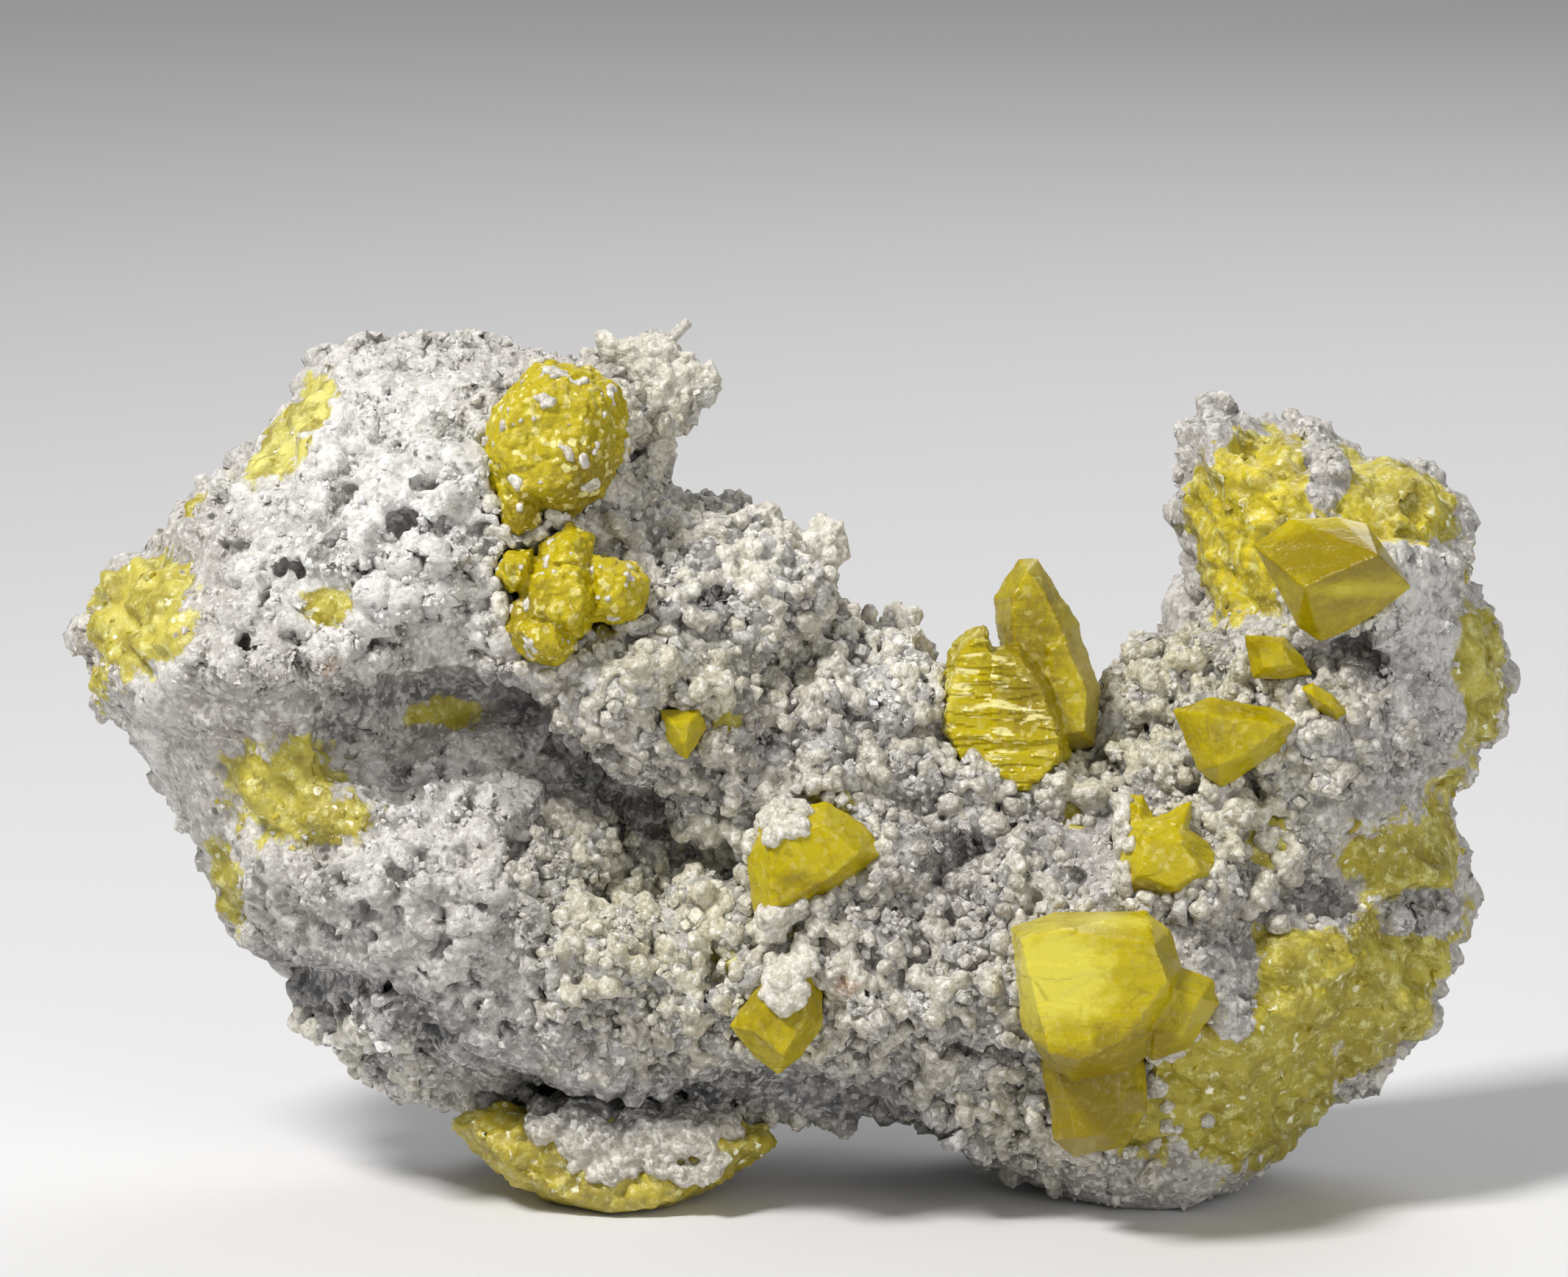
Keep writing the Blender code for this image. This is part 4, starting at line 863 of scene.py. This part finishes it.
def budding_crust(name, centres, sizes, normals, rng, pale=0.0):
    """Budding lumps of calcite that run together into one crust: pale is how far towards chalk white."""
    count = len(centres)
    ways = rng.normal(size=(count, BUDS, 3)) + 0.7 * normals[:, None]
    ways /= np.linalg.norm(ways, axis=2)[:, :, None]
    bud_centres = (centres[:, None] + ways * (sizes * BUD_REACH)[:, None, None]).reshape(-1, 3)
    bud_sizes = (sizes[:, None] * rng.uniform(*BUD_SIZES, (count, BUDS))).ravel()
    scales = sizes[:, None] * rng.uniform(0.8, 1.15, (count, 3))
    bud_scales = bud_sizes[:, None] * rng.uniform(0.7, 1.15, (len(bud_sizes), 3))
    buds = joined_grains(name + "_buds", CRUMB, bud_centres, random_turns(rng, len(bud_sizes)), bud_scales)
    crust = joined_grains(name, LUMP, centres, random_turns(rng, count), scales)
    select_only(crust)
    buds.select_set(True)
    bpy.ops.object.join()
    apply_modifier(crust, "REMESH", mode="VOXEL", voxel_size=DRUSE_CELL)
    roughen(crust, "CLOUDS", 0.6, 0.15, noise_depth=1)
    apply_modifier(crust, "DECIMATE", ratio=CRUST_KEPT)
    flat_footed(crust)
    points = vertex_array(crust)
    tints = rock_tint_and_shade(points, on_the_drawing(points)) * (1.03 + 0.32 * blotches(points, 2.5))[:, None]
    tints = (tints + pale * (np.array(CHALK) - tints)) * DRUSE_WARMTH
    # Painted shade, with dust, in the crust's creases, and painted highlight on its edges.
    paint(crust, "tint", np.clip(dusted_and_shaded(0.84 * tints, hollows(crust, 6), 0.2), 0, BRIGHTEST))
    bpy.ops.object.shade_smooth()
    finish_piece(crust, calcite, "calcite_limestone")


def grow_crust(name, surface, chance, tried, sizes, lift, seed, clear=True, pale=0.0):
    """Scatters lumps over the surface, as for seeds_on, and joins them in one crust."""
    rng = np.random.default_rng(seed)
    budding_crust(name, *seeds_on(surface, chance, tried, sizes, lift, rng, clear), rng, pale)


def clear_of_grooves(drawn):
    groove = near_line(drawn, GROOVE, 1.5 * GROOVE_WIDTH)
    near = np.maximum(groove, near_line(drawn, ARCH, 1.2 * ARCH_WIDTH))
    return 1 - np.clip(3 * near, 0, 1)


def druse(points, drawn):
    cover = covered(drawn, DRUSE_PATCHES, DRUSE_GAIN) * (1 - covered(drawn, PITS, 1.5))
    return cover * clear_of_grooves(drawn) * (1 - 0.6 * speckle(points, 3, 0.3))


def strip_of_druse(left, right):
    """The druse between these two places in x."""
    def chance(points, drawn):
        return druse(points, drawn) * (drawn[:, 0] >= left) * (drawn[:, 0] < right)
    return chance


def sugar(points, drawn):
    bare = np.maximum(0.95 * patchwork(drawn, SMOOTH_PATCHES), sulfur_patches(drawn) * 1.5)
    cover = (1 - np.clip(bare, 0, 1)) * (drawn[:, 2] > FACE_BACK)
    return cover * (0.12 + speckle(points, 3, 0.3)) * clear_of_grooves(drawn)


def behind(points, drawn):
    return (drawn[:, 2] < 0) * (drawn[:, 1] > 3) * speckle(points, 7, 0.3)


def collar_seeds(rng):
    """Small grains on the rock close round the feet of the crystals."""
    points, normals = surface_points(rock, rng, COLLAR_TRIED)
    reach = 1.6 * MM
    gap = np.array([crystal_tree.find_nearest(Vector(point), reach)[3] or 1.0 for point in points]) / MM
    nearest, farthest = COLLAR_GAP
    keep = (gap > nearest) & (gap < farthest) & (rng.random(len(points)) < 0.8) & (points[:, 2] > 2 * MM)
    sizes = rng.uniform(*COLLAR_SIZES, keep.sum()) * MM
    return points[keep] + 0.1 * normals[keep] * sizes[:, None], sizes, normals[keep]


FACE_BACK = -3  # sugar and crumbs stop at this depth behind the drawing's plane, in mm
COLLAR_TRIED = 26000
COLLAR_GAP = (0.15, 1.1)  # how near the crystals, in mm
COLLAR_SIZES = (0.45, 1.2)
DRUSE_EDGES = (-70, -11, -3, 7, 18, 70)  # the druse is five crusts side by side, parted at these x, in mm
for number, edges in enumerate(zip(DRUSE_EDGES[:-1], DRUSE_EDGES[1:])):
    grow_crust(f"druse_crust_{number}", rock, strip_of_druse(*edges), tried=12000, sizes=(0.8, 1.8),
               lift=(-0.15, 0.2), seed=10 + number)
collar_places = collar_seeds(np.random.default_rng(24))
budding_crust("crystal_collars", *collar_places, np.random.default_rng(25), pale=0.2)
grow_grains("druse_rhombs", rock, druse, BLUNT, tried=9000, sizes=(0.4, 1.1), lift=(0.1, 0.5), seed=14)
for layer in range(2):
    grow_grains(f"druse_sugar_{layer}", rock, sugar, CRUMB, tried=50000, sizes=(0.25, 0.62),
                lift=(-0.35, 0.1), seed=20 + layer)
grow_grains("druse_back", rock, behind, LUMP, tried=6000, sizes=(0.7, 2.0), lift=(-0.25, 0.1), seed=30)

# ---------------------------------------------------------------------------------------------------------
# The sprays: calcite that stands free at the top of the broad horn, with one clear blade, and at the tip
# of the wing beside it.

SPRAYS = {  # x, h and d of each lump, then its size, in mm
    "spray_horn": [
        (-15.5, 72.6, 3.6, 1.4), (-14.8, 71.8, 3.6, 2.0), (-13.4, 71.4, 3.6, 2.4), (-12.2, 71.8, 3.6, 2.0),
        (-11.3, 72.3, 3.6, 1.5), (-10.8, 71.2, 3.6, 2.4), (-9.4, 70.6, 3.4, 2.2), (-8.2, 70.0, 3.4, 2.0),
        (-7.0, 69.4, 3.2, 1.9), (-6.4, 68.7, 3.2, 1.4), (-7.4, 68.0, 3.2, 1.8), (-8.6, 69.0, 3.4, 2.4),
        (-10.4, 69.4, 3.8, 2.6), (-12.0, 69.8, 3.8, 2.6), (-9.8, 67.4, 3.8, 2.4), (-11.4, 67.6, 4.2, 2.6),
        (-10.4, 65.6, 3.8, 2.2), (-11.0, 63.8, 3.8, 2.2), (-11.8, 61.6, 3.8, 2.4), (-8.0, 67.3, 3.2, 1.3),
    ],
    "spray_wing": [
        (-0.6, 53.6, 6.0, 2.4), (0.6, 54.4, 4.6, 2.4), (1.6, 55.2, 3.6, 2.2), (2.6, 55.9, 3.2, 2.2),
        (3.4, 56.6, 3.0, 1.8), (2.6, 57.2, 3.0, 1.5), (4.0, 55.6, 3.0, 1.6), (4.4, 54.9, 3.0, 1.2),
        (3.2, 54.7, 3.2, 2.0), (2.2, 54.0, 3.6, 2.2), (1.2, 52.9, 4.4, 2.2), (2.8, 53.6, 3.4, 1.4),
    ],
}
BLADE_FOOT, BLADE_TIP, BLADE_WIDTH = (-10.8, 71.8, 3.6), (-8.4, 74.2, 3.8), 1.2
BLADE_GREY = (0.52, 0.50, 0.46)


def in_world(x, h, d):
    return TO_WORLD @ (Vector((x, -d, h)) * MM)


for number, (name, lumps) in enumerate(SPRAYS.items()):
    spots = np.array([in_world(x, h, d) for x, h, d, _ in lumps])
    sizes = np.array([size for _, _, _, size in lumps]) * MM
    outward = np.tile((0.0, -1.0, 0.3), (len(lumps), 1))
    budding_crust(name, spots, sizes, outward, np.random.default_rng(80 + number), pale=0.5)
foot, tip = in_world(*BLADE_FOOT), in_world(*BLADE_TIP)
bpy.ops.object.select_all(action="DESELECT")
bpy.ops.mesh.primitive_cylinder_add(
    vertices=6, radius=BLADE_WIDTH / 2 * MM, depth=(tip - foot).length, location=(foot + tip) / 2,
    rotation=(tip - foot).to_track_quat("Z", "Y").to_euler(),
)
blade = bpy.context.object
blade.name = "spray_blade"
bpy.ops.object.transform_apply(location=True, rotation=True, scale=True)
apply_modifier(blade, "BEVEL", width=0.22 * MM, segments=1)
apply_modifier(blade, "SUBSURF", subdivision_type="SIMPLE", levels=2, render_levels=2)
roughen(blade, "CLOUDS", 0.8, 0.2)
paint(blade, "tint", np.tile(BLADE_GREY, (len(blade.data.vertices), 1)))
finish_piece(blade, calcite, "calcite_limestone")

# ---------------------------------------------------------------------------------------------------------
# Crumbs of massive sulfur: waxy yellow chips, half sunk into the rock, that make its yellow patches
# granular.


def massive(points, drawn):
    return np.clip(sulfur_patches(drawn) * 1.6 - 0.35, 0, 0.8) * (drawn[:, 2] > FACE_BACK)


grow_grains("sulfur_crumbs", rock, massive, LUMP, tried=5000, sizes=(0.3, 1.1), lift=(-0.42, -0.15),
            seed=40, finish=waxy, slot="sulfur", flatten=0.7)

# ---------------------------------------------------------------------------------------------------------
# Calcite that grew over the sulfur: flecks on the frosted crystals, a rim round the knot of two points,
# blobs on the two in the vug, and the white crust across the upper middle of the lens.

OVERGROWTH_PATCHES = [
    (-0.4, 32.6, 2.0, 1.1, 0.8), (0.4, 24.4, 2.2, 1.4, 1.0), (-3.7, 31.0, 0.6, 2.0, 0.6),
    (2.0, 22.0, 1.5, 1.2, 0.8), (-0.4, 19.6, 1.3, 1.9, 0.8),
]
RIM_PATCHES = [
    (27.0, 32.4, 0.9, 1.8, 0.9), (26.6, 28.2, 1.0, 1.2, 0.9), (35.4, 27.6, 1.0, 1.4, 0.9),
    (30.6, 26.0, 3.0, 0.6, 0.8),
]
CRUST_PATCHES = [(-12.5, 7.2, 6.0, 2.3, 1.0), (-8.6, 5.8, 3.0, 1.8, 1.0), (-15.0, 5.0, 2.4, 1.2, 0.8)]
overgrown = {crystal.name: crystal for crystal in crystals}


def flecks(points, drawn):
    return speckle(points, 1.6, 0.2) * (drawn[:, 2] > 8)


def growth_on(patches, gain=2):
    def chance(points, drawn):
        return covered(drawn, patches, gain)
    return chance


grow_crust("flecks_top", overgrown["sulfur_crystal_top_gem"], flecks, tried=2100, sizes=(0.35, 0.75),
           lift=(-0.25, -0.05), seed=50, clear=False, pale=0.1)
grow_crust("flecks_left", overgrown["sulfur_cluster_left_gem"], flecks, tried=900, sizes=(0.3, 0.7),
           lift=(-0.25, -0.05), seed=51, clear=False, pale=0.1)
grow_crust("flecks_star", overgrown["sulfur_crystals_star_gem"], growth_on(RIM_PATCHES), tried=900,
           sizes=(0.5, 1.2), lift=(-0.1, 0.2), seed=52, clear=False, pale=0.3)
for number, name in enumerate(("upper", "lower")):
    grow_crust(f"overgrowth_{name}", overgrown[f"sulfur_crystal_vug_{name}_gem"],
               growth_on(OVERGROWTH_PATCHES), tried=420, sizes=(0.8, 1.7), lift=(-0.15, 0.2),
               seed=60 + number, clear=False, pale=0.5)
grow_crust("lens_crust", lens, growth_on(CRUST_PATCHES, 2.2), tried=1500, sizes=(1.0, 2.2),
           lift=(-0.15, 0.25), seed=70, clear=False)

# ---------------------------------------------------------------------------------------------------------
# The setting: a pale table, soft light from the upper left, and the camera, which looks a little down on
# the specimen.

bpy.ops.object.select_all(action="DESELECT")
bpy.ops.mesh.primitive_plane_add(size=6)
table = bpy.context.object
table.name = "table"
pale = Shader("pale_table")
pale.set(Base_Color=(0.72, 0.72, 0.73, 1), Roughness=0.7)
table.data.materials.append(pale.material)

world = bpy.data.worlds.new("soft_room")
world.use_nodes = True
world.node_tree.nodes["Background"].inputs["Color"].default_value = (0.86, 0.87, 0.88, 1)
world.node_tree.nodes["Background"].inputs["Strength"].default_value = 0.25
bpy.context.scene.world = world


LIT_POINT = Vector((0, 0, 0.035))


def soft_light(name, place, size, power, colour=(1, 1, 1)):
    """A square lamp turned to the specimen's middle."""
    bpy.ops.object.light_add(type="AREA", location=place)
    light = bpy.context.object
    light.name = name
    light.data.size = size
    light.data.energy = power
    light.data.color = colour
    light.rotation_euler = (LIT_POINT - Vector(place)).to_track_quat("-Z", "Y").to_euler()


soft_light("key", (-0.33, -0.27, 0.61), size=0.16, power=5.5, colour=(1, 0.985, 0.96))
soft_light("fill", (0.35, -0.65, 0.30), size=0.5, power=1.6, colour=(1, 0.99, 0.98))
soft_light("rim", (0.2, 0.5, 0.5), size=0.4, power=1.5)
bpy.context.scene.view_settings.view_transform = "Standard"

CAMERA_DISTANCE = 0.95
CAMERA_HEIGHT = math.radians(10)
SENSOR = 36
FRAME_WIDTH, AIM = 130.4 * MM, Vector((-0.9, 0, 46.2)) * MM
bpy.ops.object.camera_add()
camera = bpy.context.object
camera.name = "camera"
back = Vector((0, -math.cos(CAMERA_HEIGHT), math.sin(CAMERA_HEIGHT)))
camera.location = AIM + back * CAMERA_DISTANCE
camera.rotation_euler = (-back).to_track_quat("-Z", "Y").to_euler()
camera.data.sensor_width = SENSOR
camera.data.lens = SENSOR * CAMERA_DISTANCE / FRAME_WIDTH
camera.data.clip_end = 10
bpy.context.scene.camera = camera
